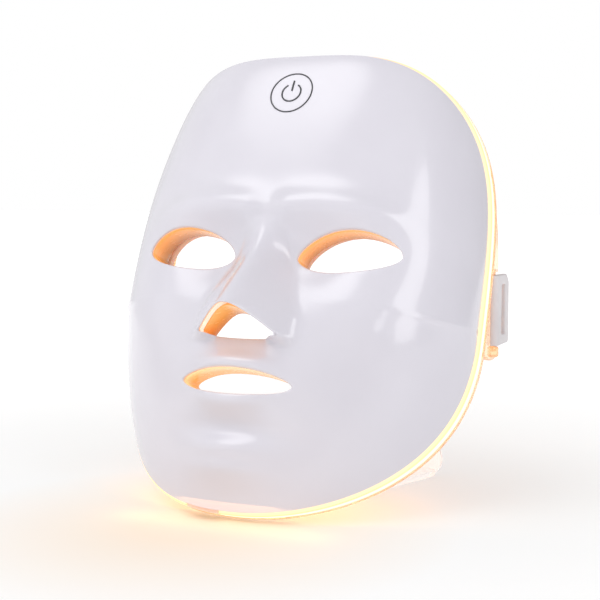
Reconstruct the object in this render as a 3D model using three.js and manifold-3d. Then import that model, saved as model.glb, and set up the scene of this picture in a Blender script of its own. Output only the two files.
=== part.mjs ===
// LED face mask: a glossy front shell and a clear inner shell with the light boards between them,
// a glowing rim, strap buckles on clear lugs and a clear foot that keeps the mask leaning back.
// Millimetres, +Z up, the face looks along -Y, +X is the wearer's left.
import * as THREE from 'three';
import { mergeVertices } from 'three/addons/utils/BufferGeometryUtils.js';
import Module from 'manifold-3d';

const wasm = await Module();
wasm.setup();

// ---- driving dimensions (mm, degrees) ----
const LEAN = 19.9;            // the mask leans back on its foot by this angle
const HALF_WIDTH = 87.8;      // half width of the front shell at its rim
const CENTRE_Z = -27;         // height of the widest place, measured from the bridge of the nose
const TOP_RADIUS = 121.5;      // from the widest place up to the forehead edge
const BOTTOM_RADIUS = 92;     // from the widest place down to the chin edge
const TOP_POWER = 3.65;       // squareness of the outline above the widest place
const BOTTOM_POWER = 2.16;    // squareness of the outline below it
const FRONT_Y = -44.8;        // depth of the plain front surface
const RIM_Y = 5;              // depth of the rim at the temples
const TOP_FALL = 38;          // how much further forward the rim is at the forehead edge
const BOTTOM_FALL = 46;       // and at the chin edge
const WALL = 2;               // front shell thickness
const INNER_WALL = 1.5;       // inner shell thickness
const INNER_SHRINK = 8;       // inner shell outline inside the front shell outline
const INNER_DROP = 12;        // inner shell behind the front surface
const GAP = 0.3;              // clearance between separate pieces
const RIM_DEPTH = 5;          // depth of the glowing rim
const RIM_GAP = 0.8;          // clearance between the front shell edge and the glowing rim
const RIM_OUT = 1.3;          // how far the rim stands outside the shell
const FLANGE = 2;             // thickness of the clear flange behind the rim
const EYE = { x: 39.2, z: -4.4, half: 23.6, up: 11.6, down: 7.6 };
const MOUTH = { z: -65, half: 26.3, lift: 5.7 };
const NOSTRILS = { half: 18, top: -35, fall: 8.5, bottom: -44.6 };
const NOSE_HEIGHT = 24.5;     // how far the tip of the nose stands out of the plain surface
const COLLAR = 1.3;           // wall of the clear collars round the openings
const BAR = [87.3, 23, -9.8]; // middle of the strap bar on the left lug; the bar stands upright
const BAR_RADIUS = 1.5;
const BAR_HALF = 19;          // half length of the strap bar
const WINDOW_HALF = 16.6;     // half height of the window in the lug round the bar
const WING_TOP = 62;          // where the lug starts to grow out of the flange
const WING_REACH = 12.8;      // how far the lug reaches behind the flange at the window
const LUG_BOTTOM = -34;
const BOSS_RADIUS = 3.3;      // round boss of the lug under the window, at the bar's lower end
const BUCKLE_HALF = 16.2;     // half height of the buckle
const BUCKLE_REAR = 16;       // rear edge of the buckle behind the bar's axis
const BUCKLE_INNER = 1;       // inner and outer face of its plate, outwards from the bar's axis
const BUCKLE_OUTER = 3.6;
const CLIP_BORE = 1.9;        // radius of the clip's bore
const CLIP_GAP = 0.6;         // half of the clip's mouth, radians
const SLOT_FRONT = 3.9;       // strap slot, behind the bar's axis
const SLOT_REAR = 10.1;
const SLOT_HALF = 11.5;
const RIB_COUNT = 7;          // ribs on the rear edge of the buckle
const RIB_PITCH = 2.4;
const FOOT_THICK = 3;
const FOOT_FRONT = -68.9;
const FOOT_REAR = 50;
const FOOT_HALF = 53.5;       // half width of the foot at its rear
const FOOT_NOSE = 12;         // half width of the foot at its front
const FOOT_CORNER = 8;
const LIP_HEIGHT = 16;        // upright lip along the foot's rear edge
const LIP_THICK = 2.6;
const LIP_CORNER = 7;
const TAB = 2.4;              // thickness of the foot's tab behind the flange
const MARK_Z = 73.5;          // height of the touch mark
const SHIFT_Y = 15.31;        // brings the middle of the whole part over the origin
const SHIFT_Z = 103.55;       // lifts the leaning mask onto the ground

// ---- the face ----
function smooth(t) {
  const c = Math.min(1, Math.max(0, t));
  return c * c * (3 - 2 * c);
}

function outline(phi, grow) {
  const c = Math.cos(phi);
  const s = Math.sin(phi);
  const power = s >= 0 ? TOP_POWER : BOTTOM_POWER;
  const radius = (s >= 0 ? TOP_RADIUS : BOTTOM_RADIUS) + grow;
  const x = (HALF_WIDTH + grow) * Math.sign(c) * Math.pow(Math.abs(c), 2 / power);
  const z = radius * Math.sign(s) * Math.pow(Math.abs(s), 2 / power);
  return [x, z + CENTRE_Z];
}

function rimDepth(weight, up) {
  if (up) return RIM_Y - TOP_FALL * Math.pow(weight, 1.5);
  return RIM_Y - BOTTOM_FALL * Math.pow(weight, 1.25);
}

// depth of the plain wrap-around surface, and how far out the point is (0 centre, 1 rim)
function wrap(x, z, grow) {
  const dz = z - CENTRE_Z;
  const up = dz >= 0;
  const power = up ? TOP_POWER : BOTTOM_POWER;
  const radius = (up ? TOP_RADIUS : BOTTOM_RADIUS) + grow;
  const a = Math.pow(Math.abs(x / (HALF_WIDTH + grow)), power);
  const b = Math.pow(Math.abs(dz / radius), power);
  const sum = a + b;
  const rho = Math.min(1, Math.pow(sum, 1 / power));
  const weight = b / Math.max(sum, 1e-9);
  const flare = up ? 1 - 0.05 * weight : 1 - 0.09 * Math.pow(weight, 0.6);
  const full = 1 - Math.sqrt(Math.max(0, 1 - Math.pow(flare, 3)));
  const part = 1 - Math.sqrt(Math.max(0, 1 - Math.pow(flare * rho, 3)));
  const depth = FRONT_Y + (rimDepth(weight, up) - FRONT_Y) * part / full;
  return { depth, rho, weight };
}

// outward direction of the plain surface; taken just inside the rim where the wall turns back
function wrapNormal(x, z, grow) {
  const u = x * 0.985;
  const v = CENTRE_Z + (z - CENTRE_Z) * 0.985;
  const h = 0.4;
  const fx = (wrap(u + h, v, grow).depth - wrap(u - h, v, grow).depth) / (2 * h);
  const fz = (wrap(u, v + h, grow).depth - wrap(u, v - h, grow).depth) / (2 * h);
  const length = Math.hypot(fx, 1, fz);
  return [fx / length, -1 / length, fz / length];
}

// depth of the back of the front shell at its rim
function rimBack(phi) {
  const [x, z] = outline(phi, 0);
  const s = Math.sin(phi);
  return rimDepth(s * s, s >= 0) - WALL * wrapNormal(x, z, 0)[1];
}

// upper edge of the nose opening
function noseTop(x) {
  const ax = Math.min(NOSTRILS.half, Math.sqrt(x * x + 6));
  const { top, fall } = NOSTRILS;
  return top - fall * Math.pow(Math.max(0, (ax - 2.45) / 15.55), 1.35);
}

function bump(x, z, cx, cz, sx, sz) {
  return Math.exp(-(((x - cx) / sx) ** 2) - ((z - cz) / sz) ** 2);
}

function nose(x, z) {
  const t = Math.min(1, Math.max(0, (12 - z) / 47));
  const height = NOSE_HEIGHT * Math.pow(t, 1.1);
  const half = 9 + 11.5 * smooth((6 - z) / 46);
  const round = 2 + 2.6 * t * t;
  const side = Math.sqrt(x * x + round * round) - round;
  const q = 1 - side / half;
  const ridge = Math.max(0, 0.5 * (q + Math.sqrt(q * q + 0.012)) - 0.012);
  const under = noseTop(x) - 2.5 * Math.max(0, 1 - (x / NOSTRILS.half) ** 2);
  return height * ridge * smooth((z - (under - 5)) / 5);
}

// everything that stands forward of the plain surface, without the nose
function features(x, z) {
  const ax = Math.hypot(x, 5);
  let r = 9.5 * bump(x, z, 0, -62, 36, 26);
  r += 3.2 * Math.exp(-(((z + 56.5 + 0.004 * ax * ax) / 4.2) ** 2)) * Math.exp(-((ax / 19) ** 4));
  r += 4.0 * Math.exp(-(((z + 74 - 0.01 * ax * ax) / 5) ** 2)) * Math.exp(-((ax / 17) ** 4));
  r -= 3.0 * bump(x, z, 0, -85, 20, 5);
  r += 8.6 * bump(x, z, 0, -99, 22, 13);
  r -= 1.3 * bump(x, z, 0, -97.5, 17, 3.2);
  r += 4.0 * bump(ax, z, 52, -34, 24, 20);
  r -= 6.5 * bump(ax, z, 24, -6, 17, 13);
  const browLine = 17 + 0.1 * (ax - 14) - 0.004 * (ax - 14) ** 2;
  r += 4.5 * Math.exp(-(((z - browLine) / 8) ** 2)) * smooth((ax + 4) / 16) * smooth((72 - ax) / 30);
  return r;
}

function frontSurface(x, z) {
  const w = wrap(x, z, 0);
  return w.depth - (features(x, z) + nose(x, z)) * (1 - Math.pow(w.rho, 6));
}

function innerSurface(x, z) {
  const w = wrap(x, z, -INNER_SHRINK);
  const relief = 0.8 * features(x, z) + 0.72 * nose(x, z);
  const drop = INNER_DROP + (RIM_DEPTH + 1.6 + 1.6 * w.weight - INNER_DROP) * Math.pow(w.rho, 5);
  return w.depth + drop - relief * (1 - Math.pow(w.rho, 6));
}

// a level between the two shells: 0 at the back of the front shell, 1 at the inner shell
function between(x, z, level) {
  const a = frontSurface(x, z) + WALL;
  return a + (innerSurface(x, z) - a) * level;
}

// ---- openings in the face ----
function eyeOutline(side, grow, count = 30) {
  const points = [];
  for (let i = 0; i < count; i += 1) {
    const t = (2 * Math.PI * i) / count;
    const s = Math.sin(t);
    const x = EYE.x + (EYE.half + grow) * Math.cos(t);
    const lift = (s > 0 ? EYE.up : EYE.down) + grow;
    const z = EYE.z + 1.6 * Math.cos(t) + Math.sign(s) * lift * Math.pow(Math.abs(s), 1.15);
    points.push([side * x, z]);
  }
  return points;
}

function mouthOutline(grow, count = 26) {
  const points = [];
  for (let i = 0; i < count; i += 1) {
    const t = (2 * Math.PI * i) / count;
    const s = Math.sin(t);
    const z = MOUTH.z + (MOUTH.lift + grow) * Math.sign(s) * Math.pow(Math.abs(s), 1.2);
    points.push([(MOUTH.half + grow) * Math.cos(t), z]);
  }
  return points;
}

function noseOutline(grow, count = 13) {
  const points = [];
  const half = NOSTRILS.half + grow;
  for (let i = 0; i < count; i += 1) {
    const x = -half + (2 * half * i) / (count - 1);
    points.push([x, noseTop((x * NOSTRILS.half) / half) + grow]);
  }
  for (let i = 0; i < count; i += 1) {
    const x = half - (2 * half * i) / (count - 1);
    points.push([x, NOSTRILS.bottom - grow - 1.2 * (1 - (x / half) ** 2)]);
  }
  return points;
}

// ---- mesh helpers ----
function fromArrays(points, faces) {
  let volume = 0;
  for (const [a, b, c] of faces) {
    const [p, q, r] = [points[a], points[b], points[c]];
    volume += p[0] * (q[1] * r[2] - q[2] * r[1]);
    volume += p[1] * (q[2] * r[0] - q[0] * r[2]);
    volume += p[2] * (q[0] * r[1] - q[1] * r[0]);
  }
  const turned = volume < 0 ? faces.map(([a, b, c]) => [a, c, b]) : faces;
  const geometry = new THREE.BufferGeometry();
  geometry.setAttribute('position', new THREE.Float32BufferAttribute(points.flat(), 3));
  geometry.setIndex(turned.flat());
  return geometry;
}

function weld(geometry) {
  const copy = geometry.clone();
  if (geometry.index && !geometry.getAttribute('normal')) return copy;
  copy.deleteAttribute('normal');
  copy.deleteAttribute('uv');
  return mergeVertices(copy, 1e-4);
}

function solid(geometry) {
  const g = weld(geometry);
  return new wasm.Manifold(new wasm.Mesh({
    numProp: 3,
    vertProperties: new Float32Array(g.getAttribute('position').array),
    triVerts: new Uint32Array(g.index.array),
  }));
}

function toGeometry(manifold) {
  const mesh = manifold.getMesh();
  const geometry = new THREE.BufferGeometry();
  geometry.setAttribute('position', new THREE.BufferAttribute(new Float32Array(mesh.vertProperties), 3));
  geometry.setIndex(new THREE.BufferAttribute(new Uint32Array(mesh.triVerts), 1));
  return geometry;
}

function join(...geometries) {
  return toGeometry(geometries.map(solid).reduce((a, b) => a.add(b)));
}

function cut(geometry, ...cutters) {
  return toGeometry(cutters.map(solid).reduce((a, b) => a.subtract(b), solid(geometry)));
}

function mirror(geometry) {
  const copy = weld(geometry);
  copy.scale(-1, 1, 1);
  const index = copy.index.array;
  for (let i = 0; i < index.length; i += 3) {
    [index[i + 1], index[i + 2]] = [index[i + 2], index[i + 1]];
  }
  return copy;
}

function box(x0, x1, y0, y1, z0, z1) {
  const g = new THREE.BoxGeometry(x1 - x0, y1 - y0, z1 - z0);
  g.translate((x0 + x1) / 2, (y0 + y1) / 2, (z0 + z1) / 2);
  return g;
}

function extruded(shape, depth, curveSegments) {
  return new THREE.ExtrudeGeometry(shape, { depth, bevelEnabled: false, curveSegments });
}

// round pin along the depth of the mask
function pinY(x, z, radius, y0, y1, sides = 16) {
  const g = new THREE.CylinderGeometry(radius, radius, y1 - y0, sides);
  g.translate(x, (y0 + y1) / 2, z);
  return g;
}

function pinZ(x, y, radius, z0, z1, sides = 20) {
  const g = new THREE.CylinderGeometry(radius, radius, z1 - z0, sides);
  g.rotateX(Math.PI / 2);
  g.translate(x, y, (z0 + z1) / 2);
  return g;
}

// a bowl: two surfaces over the same polar grid, closed along the rim
function bowl(grow, surface, thickness, sectors, rings) {
  const pole = [0, -30];
  const outer = [];
  const inner = [];
  const place = (phi, s) => {
    const [ex, ez] = outline(phi, grow);
    const x = pole[0] + (ex - pole[0]) * s;
    const z = pole[1] + (ez - pole[1]) * s;
    const y = surface(x, z);
    const [nx, ny, nz] = wrapNormal(x, z, grow);
    outer.push([x, y, z]);
    inner.push([x - thickness * nx, y - thickness * ny, z - thickness * nz]);
  };
  place(0, 0);
  for (let k = 1; k <= rings; k += 1) {
    const t = k / rings;
    const s = 0.45 * t + 0.55 * Math.sin((t * Math.PI) / 2);
    for (let j = 0; j < sectors; j += 1) place((2 * Math.PI * j) / sectors, s);
  }
  const n = outer.length;
  const at = (k, j) => (k === 0 ? 0 : 1 + (k - 1) * sectors + (j % sectors));
  const faces = [];
  for (let j = 0; j < sectors; j += 1) {
    faces.push([0, at(1, j + 1), at(1, j)]);
    faces.push([n, n + at(1, j), n + at(1, j + 1)]);
    for (let k = 1; k < rings; k += 1) {
      const [a, b, c, d] = [at(k, j), at(k, j + 1), at(k + 1, j + 1), at(k + 1, j)];
      faces.push([a, b, c], [a, c, d]);
      faces.push([n + a, n + c, n + b], [n + a, n + d, n + c]);
    }
    const [p, q] = [at(rings, j), at(rings, j + 1)];
    faces.push([p, q, n + q], [p, n + q, n + p]);
  }
  return fromArrays([...outer, ...inner], faces);
}

// a band with a four-cornered section carried along a path; corners(i) gives the four points
function band(count, closed, corners) {
  const points = [];
  for (let i = 0; i < count; i += 1) points.push(...corners(i));
  const faces = [];
  const steps = closed ? count : count - 1;
  for (let i = 0; i < steps; i += 1) {
    const a = i * 4;
    const b = ((i + 1) % count) * 4;
    for (let k = 0; k < 4; k += 1) {
      const k1 = (k + 1) % 4;
      faces.push([a + k, b + k, b + k1], [a + k, b + k1, a + k1]);
    }
  }
  if (!closed) {
    const e = (count - 1) * 4;
    faces.push([0, 1, 2], [0, 2, 3], [e, e + 2, e + 1], [e, e + 3, e + 2]);
  }
  return fromArrays(points, faces);
}

// a ring that follows the mask outline, between two outline offsets and two depths behind the rim
function rimRing(grow0, grow1, depth0, depth1, count) {
  return band(count, true, (i) => {
    const phi = (2 * Math.PI * i) / count;
    const y = rimBack(phi);
    const [x0, z0] = outline(phi, grow0);
    const [x1, z1] = outline(phi, grow1);
    return [[x0, y + depth0, z0], [x1, y + depth0, z1], [x1, y + depth1, z1], [x0, y + depth1, z0]];
  });
}

// a tube wall that follows an opening
function wall(inside, outside, y0, y1) {
  return band(inside.length, true, (i) => {
    const [a, b] = inside[i];
    const [c, d] = outside[i];
    return [[a, y0(a, b), b], [c, y0(c, d), d], [c, y1(c, d), d], [a, y1(a, b), b]];
  });
}

// a straight prism through the mask with the outline of an opening
function plug(points) {
  const shape = new THREE.Shape(points.map(([x, z]) => new THREE.Vector2(x, z)));
  const g = extruded(shape, 160, 12);
  g.rotateX(Math.PI / 2);
  g.translate(0, 50, 0);
  return g;
}

// a bent plate over a patch of the face, thickness measured along the depth
function patch(x0, x1, z0, z1, nx, nz, level, thickness) {
  const points = [];
  for (let side = 0; side < 2; side += 1) {
    for (let i = 0; i <= nx; i += 1) {
      for (let j = 0; j <= nz; j += 1) {
        const x = x0 + ((x1 - x0) * i) / nx;
        const z = z0 + ((z1 - z0) * j) / nz;
        points.push([x, between(x, z, level) + side * thickness, z]);
      }
    }
  }
  const half = (nx + 1) * (nz + 1);
  const at = (i, j) => i * (nz + 1) + j;
  const faces = [];
  for (let i = 0; i < nx; i += 1) {
    for (let j = 0; j < nz; j += 1) {
      const [a, b, c, d] = [at(i, j), at(i + 1, j), at(i + 1, j + 1), at(i, j + 1)];
      faces.push([a, b, c], [a, c, d], [half + a, half + c, half + b], [half + a, half + d, half + c]);
    }
  }
  const edge = [];
  for (let i = 0; i < nx; i += 1) edge.push([at(i, 0), at(i + 1, 0)]);
  for (let j = 0; j < nz; j += 1) edge.push([at(nx, j), at(nx, j + 1)]);
  for (let i = nx; i > 0; i -= 1) edge.push([at(i, nz), at(i - 1, nz)]);
  for (let j = nz; j > 0; j -= 1) edge.push([at(0, j), at(0, j - 1)]);
  for (const [a, b] of edge) faces.push([a, half + a, half + b], [a, half + b, b]);
  return fromArrays(points, faces);
}

// a light board: a bent plate with its lamp packages on the side towards the wearer
function lightBoard(x0, x1, z0, z1, columns, rows) {
  const plate = patch(x0, x1, z0, z1, 6, 4, 0.5, 0.8);
  const lamps = [];
  for (let i = 0; i < columns; i += 1) {
    for (let j = 0; j < rows; j += 1) {
      const x = x0 + ((x1 - x0) * (i + 0.5)) / columns;
      const z = z0 + ((z1 - z0) * (j + 0.5)) / rows;
      const y = between(x, z, 0.5);
      lamps.push(box(x - 1.4, x + 1.4, y + 0.3, y + 2.1, z - 1.4, z + 1.4));
    }
  }
  return join(plate, ...lamps);
}

// a flat ribbon between two boards, just in front of them
function ribbon(path, half) {
  const curve = new THREE.CatmullRomCurve3(path.map(([x, z]) => new THREE.Vector3(x, 0, z)));
  const count = 14;
  return band(count, false, (i) => {
    const p = curve.getPoint(i / (count - 1));
    const t = curve.getTangent(i / (count - 1));
    const a = [p.x - t.z * half, p.z + t.x * half];
    const b = [p.x + t.z * half, p.z - t.x * half];
    const ya = between(a[0], a[1], 0.5) - 1.1;
    const yb = between(b[0], b[1], 0.5) - 1.1;
    return [[a[0], ya, a[1]], [b[0], yb, b[1]], [b[0], yb + 0.4, b[1]], [a[0], ya + 0.4, a[1]]];
  });
}

// ---- materials ----
const finish = (color, roughness, extra = {}) => ({ color, roughness, ...extra });
const FINISHES = {
  shell_white: finish(0xe8e7ee, 0.18),
  clear_plastic: finish(0xf6e6dc, 0.1, { transparent: true, opacity: 0.55 }),
  glow_guide: finish(0xfff0c0, 0.35, { emissive: 0xffd080, emissiveIntensity: 0.6 }),
  board_white: finish(0xf2efe6, 0.5),
  board_green: finish(0x1f5a3a, 0.5),
  cell_foil: finish(0xb8bcc2, 0.35, { metalness: 0.7 }),
  sensor_film: finish(0xc88a4a, 0.4),
  mark_grey: finish(0x3b3b42, 0.5),
  silicone: finish(0xf3d9c6, 0.7),
  ribbon_amber: finish(0xc98a3c, 0.5),
  socket_metal: finish(0xbfc2c6, 0.3, { metalness: 0.8 }),
  port_plastic: finish(0xf4e6e0, 0.5),
  screw_steel: finish(0x9a9ca0, 0.35, { metalness: 0.9 }),
  buckle_plastic: finish(0xe4dfe3, 0.45),
};

const group = new THREE.Group();
group.name = 'led_face_mask';

function add(name, slot, geometry) {
  const g = weld(geometry);
  g.computeVertexNormals();
  const mesh = new THREE.Mesh(g, new THREE.MeshStandardMaterial(FINISHES[slot]));
  mesh.name = name;
  mesh.material.name = slot;
  group.add(mesh);
}

// the mask is drawn upright and leans back as a whole
const lean = new THREE.Matrix4().makeRotationX(-THREE.MathUtils.degToRad(LEAN));
lean.premultiply(new THREE.Matrix4().makeTranslation(0, SHIFT_Y, SHIFT_Z));

function addLeaning(name, slot, geometry) {
  const g = weld(geometry);
  g.applyMatrix4(lean);
  add(name, slot, g);
}

// ---- fixings ----
const SCREWS = [[40, 70], [68, -56], [31, -97]].flatMap(([x, z]) => [[x, z], [-x, z]]);
const FOOT_SCREW_TURNS = [0.03, 0.24];   // along the chin from its lowest point, radians

const eyes = [eyeOutline(1, 0), eyeOutline(-1, 0)];
const openings = [...eyes, mouthOutline(0), noseOutline(0)];

// ---- front shell: bosses behind it take the screws ----
// lowest and highest depth of the inner shell under a round pad
function seat(x, z, radius) {
  const depths = [];
  const fronts = [];
  for (let k = 0; k < 12; k += 1) {
    const a = (2 * Math.PI * k) / 12;
    depths.push(innerSurface(x + radius * Math.cos(a), z + radius * Math.sin(a)));
    fronts.push(frontSurface(x + radius * Math.cos(a), z + radius * Math.sin(a)));
  }
  return { low: Math.min(...depths), high: Math.max(...depths), start: Math.max(...fronts) + 0.3 };
}

const PAD_RADIUS = 3.6;
const seats = SCREWS.map(([x, z]) => ({ x, z, ...seat(x, z, PAD_RADIUS) }));
const bosses = seats.map((s) => pinY(s.x, s.z, 2.8, s.start, s.low - 0.7, 14));
const bores = seats.map((s) => pinY(s.x, s.z, 1.3, s.low - 6.5, s.low + 3, 10));
const front = bowl(0, frontSurface, WALL, 46, 18);
addLeaning('front_shell', 'shell_white', cut(join(front, ...bosses), ...openings.map(plug), ...bores));

// ---- inner shell: clear, with collars round the openings, a flange and two strap lugs ----
const collarFront = (x, z) => frontSurface(x, z) + WALL + 1.2;
const collarBack = (x, z) => innerSurface(x, z) + 1.2;
const noseCollarFront = (x, z) => frontSurface(x, z + (z > -44 ? 1.5 : 0)) + WALL + 3.5;
const collars = [
  wall(eyes[0], eyeOutline(1, COLLAR), collarFront, collarBack),
  wall(eyes[1], eyeOutline(-1, COLLAR), collarFront, collarBack),
  wall(mouthOutline(0), mouthOutline(COLLAR), collarFront, collarBack),
  wall(noseOutline(0), noseOutline(COLLAR), noseCollarFront, collarBack),
];

const flangeFront = RIM_GAP + RIM_DEPTH + GAP;
const flangeBack = flangeFront + FLANGE;

// from the strap bar's own frame, upright round the bar, to the mask's frame
const barFrame = new THREE.Matrix4().makeRotationX(THREE.MathUtils.degToRad(LEAN));
barFrame.premultiply(new THREE.Matrix4().makeTranslation(...BAR));

function onBar(geometry) {
  const g = weld(geometry);
  g.applyMatrix4(barFrame);
  return g;
}

// depth of the bar's axis at a height
function barDepth(z) {
  return BAR[1] - (z - BAR[2]) * Math.tan(THREE.MathUtils.degToRad(LEAN));
}

// the lug's plate, from where it leaves the flange down to its round lower end
function wing() {
  const count = 26;
  const slope = WING_REACH / (WING_TOP - BAR[2] - WINDOW_HALF);
  return band(count, false, (i) => {
    const z = WING_TOP + ((LUG_BOTTOM - WING_TOP) * i) / (count - 1);
    const dz = z - CENTRE_Z;
    const up = dz >= 0;
    const power = up ? TOP_POWER : BOTTOM_POWER;
    const b = Math.pow(Math.abs(dz / (up ? TOP_RADIUS : BOTTOM_RADIUS)), power);
    const x = HALF_WIDTH * Math.pow(1 - b, 1 / power);
    const y = rimDepth(b, up) + flangeFront + 0.5;
    const round = Math.sqrt(Math.max(0.05, Math.min(1, (z - LUG_BOTTOM) / 5)));
    const high = y + 1.5 + slope * (WING_TOP - z);
    const low = y + (barDepth(z) + 4.6 - y) * round;
    const end = z > BAR[2] ? high : low;
    return [[x - 2, y, z], [x + 0.2, y, z], [x + 0.2, end, z], [x - 2, end, z]];
  });
}

function lug() {
  const slot = onBar(box(-9, 9, -3.95, 30, -WINDOW_HALF, WINDOW_HALF));
  const bar = onBar(pinZ(0, 0, BAR_RADIUS, -BAR_HALF, BAR_HALF));
  const boss = onBar(pinZ(0, 0, BOSS_RADIUS, -BAR_HALF - 2.6, -WINDOW_HALF));
  return join(cut(wing(), slot), bar, boss);
}

const pads = seats.map((s) => pinY(s.x, s.z, PAD_RADIUS, s.low - 0.4, s.high + 2.2, 14));
const padHoles = SCREWS.map(([x, z]) => {
  const y = innerSurface(x, z);
  return pinY(x, z, 1.5, y - 8, y + 12, 10);
});
const footSpots = FOOT_SCREW_TURNS.map((turn) => {
  const phi = turn - Math.PI / 2;
  const [x, z] = outline(phi, -6.8);
  return { x, z, y: rimBack(phi) + flangeBack };
});
const footHoles = footSpots.map((p) => pinY(p.x, p.z, 1.4, p.y - 9, p.y + 9, 10));
const innerBody = join(
  bowl(-INNER_SHRINK, innerSurface, INNER_WALL, 38, 14),
  rimRing(-INNER_SHRINK - 2, RIM_OUT + 0.4, flangeFront, flangeBack, 72),
  ...collars,
  ...pads,
  ...footSpots.map((p) => pinY(p.x, p.z, 2.6, p.y - 5.5, p.y - 0.9, 12)),
  lug(),
  mirror(lug()),
);
const innerPlugs = [eyeOutline(1, 0.2), eyeOutline(-1, 0.2), mouthOutline(0.2), noseOutline(0.2)].map(plug);
const innerShell = cut(innerBody, ...innerPlugs, ...padHoles, ...footHoles);
addLeaning('inner_shell', 'clear_plastic', innerShell);

// ---- glowing rim between the shells, with a gap for the charging port ----
const PORT_PHI = -Math.PI / 2 - 0.125;
const [portX, portZ] = outline(PORT_PHI, RIM_OUT);
const portY = rimBack(PORT_PHI) + RIM_GAP + RIM_DEPTH / 2;
const portTurn = Math.atan2(rimBack(PORT_PHI + 0.05) - rimBack(PORT_PHI - 0.05), 0.1 * HALF_WIDTH);

// block across the rim at the port, measured up from the outer face of the rim
function portBox(width, depth, low, high) {
  const g = new THREE.BoxGeometry(width, depth, high - low);
  g.rotateZ(portTurn);
  g.translate(portX, portY, portZ + (low + high) / 2);
  return g;
}

const guide = rimRing(-3.4, RIM_OUT, RIM_GAP, RIM_GAP + RIM_DEPTH, 72);
addLeaning('glow_rim', 'glow_guide', cut(guide, portBox(18, 16, -6, 12)));

function slice(geometry, block) {
  return toGeometry(solid(geometry).intersect(solid(block)));
}
const portRing = rimRing(-5, RIM_OUT, RIM_GAP, RIM_GAP + RIM_DEPTH, 72);
const portBlock = slice(portRing, portBox(17.2, 16, -6, 12));
addLeaning('port_bezel', 'port_plastic', cut(portBlock, portBox(10.2, 3.9, -4, 12)));
const socket = cut(portBox(9.3, 3.1, 1.2, 8.8), portBox(8.5, 2.3, -1, 7.4));
addLeaning('charging_socket', 'socket_metal', socket);

// ---- light boards ----
addLeaning('light_board_forehead', 'board_white', lightBoard(-46, 46, 28, 59, 5, 3));
addLeaning('light_board_nose', 'board_white', lightBoard(-6.5, 6.5, -20, 16, 1, 3));
addLeaning('light_board_lip', 'board_white', lightBoard(-16, 16, -56.4, -48.6, 3, 1));
addLeaning('light_board_chin', 'board_white', lightBoard(-24, 24, -92, -75, 4, 2));
const cheek = lightBoard(27, 62, -51, -17, 3, 3);
addLeaning('light_board_cheek_left', 'board_white', cheek);
addLeaning('light_board_cheek_right', 'board_white', mirror(cheek));
const jaw = lightBoard(32, 58, -84, -62, 2, 2);
addLeaning('light_board_jaw_left', 'board_white', jaw);
addLeaning('light_board_jaw_right', 'board_white', mirror(jaw));

// ---- ribbons between the boards ----
const side = ribbon([[44, 34], [60, 26], [71, 4], [71, -16], [60, -24]], 2);
addLeaning('ribbon_side_left', 'ribbon_amber', side);
addLeaning('ribbon_side_right', 'ribbon_amber', mirror(side));
const lower = ribbon([[56, -48], [57.5, -55], [56, -64]], 2);
addLeaning('ribbon_jaw_left', 'ribbon_amber', lower);
addLeaning('ribbon_jaw_right', 'ribbon_amber', mirror(lower));
addLeaning('ribbon_nose', 'ribbon_amber', ribbon([[0, 32], [0, 22], [0, 12]], 2));
addLeaning('ribbon_chin', 'ribbon_amber', ribbon([[34, -78], [26, -82], [20, -84]], 2));

// ---- flat parts: the flat space between the shells over a rectangle ----
function room(x0, x1, z0, z1) {
  let low = -1e9;
  let high = 1e9;
  for (let i = 0; i <= 8; i += 1) {
    for (let j = 0; j <= 8; j += 1) {
      const x = x0 + ((x1 - x0) * i) / 8;
      const z = z0 + ((z1 - z0) * j) / 8;
      low = Math.max(low, frontSurface(x, z) + WALL);
      high = Math.min(high, innerSurface(x, z));
    }
  }
  return [low, high];
}

const [cellLow, cellHigh] = room(-22, 22, 61, 77);
const cellY = cellLow + 1.3;
addLeaning('battery', 'cell_foil', box(-22, 22, cellY, cellHigh - 1.6, 61, 77));
addLeaning('battery_pad', 'silicone', box(-18, 18, cellHigh - 1.3, cellHigh - 0.4, 63, 75));
addLeaning('touch_sensor', 'sensor_film', patch(-9, 9, 65, 83, 4, 4, 0.06, 0.5));

const [boardLow, boardHigh] = room(-15, 15, -108, -97);
const boardY = boardHigh - 1.7;
const controlPlate = box(-15, 15, boardY, boardY + 1, -108, -97);
const driverChip = box(-3.5, 3.5, boardY - 1, boardY + 0.2, -106, -99);
const chargerChip = box(6, 12, boardY - 0.8, boardY + 0.2, -104, -100);
addLeaning('control_board', 'board_green', join(controlPlate, driverChip, chargerChip));

// ---- touch mark on the forehead: a ring round a generic standby sign ----
const onFront = (x, z) => frontSurface(x, z) - 0.55;
const onFrontBack = (x, z) => frontSurface(x, z) - 0.2;
function arc(radius, from, to, count) {
  const points = [];
  for (let i = 0; i < count; i += 1) {
    const a = from + ((to - from) * i) / (count - 1);
    points.push([radius * Math.cos(a), MARK_Z + radius * Math.sin(a)]);
  }
  return points;
}
const circle = (radius) => arc(radius, 0, (2 * Math.PI * 35) / 36, 36);
function strip(inside, outside) {
  return band(inside.length, false, (i) => {
    const [a, b] = inside[i];
    const [c, d] = outside[i];
    return [
      [a, onFront(a, b), b],
      [c, onFront(c, d), d],
      [c, onFrontBack(c, d), d],
      [a, onFrontBack(a, b), b],
    ];
  });
}
addLeaning('touch_mark_ring', 'mark_grey', wall(circle(9.9), circle(10.7), onFront, onFrontBack));
const [openFrom, openTo] = [Math.PI * 0.68, Math.PI * 2.32];
const signArc = strip(arc(4.2, openFrom, openTo, 20), arc(5.1, openFrom, openTo, 20));
addLeaning('touch_mark_arc', 'mark_grey', signArc);
const barLine = (x) => [0, 1, 2, 3].map((i) => [x, MARK_Z + 0.8 + i * 1.9]);
addLeaning('touch_mark_bar', 'mark_grey', strip(barLine(-0.45), barLine(0.45)));

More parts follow.
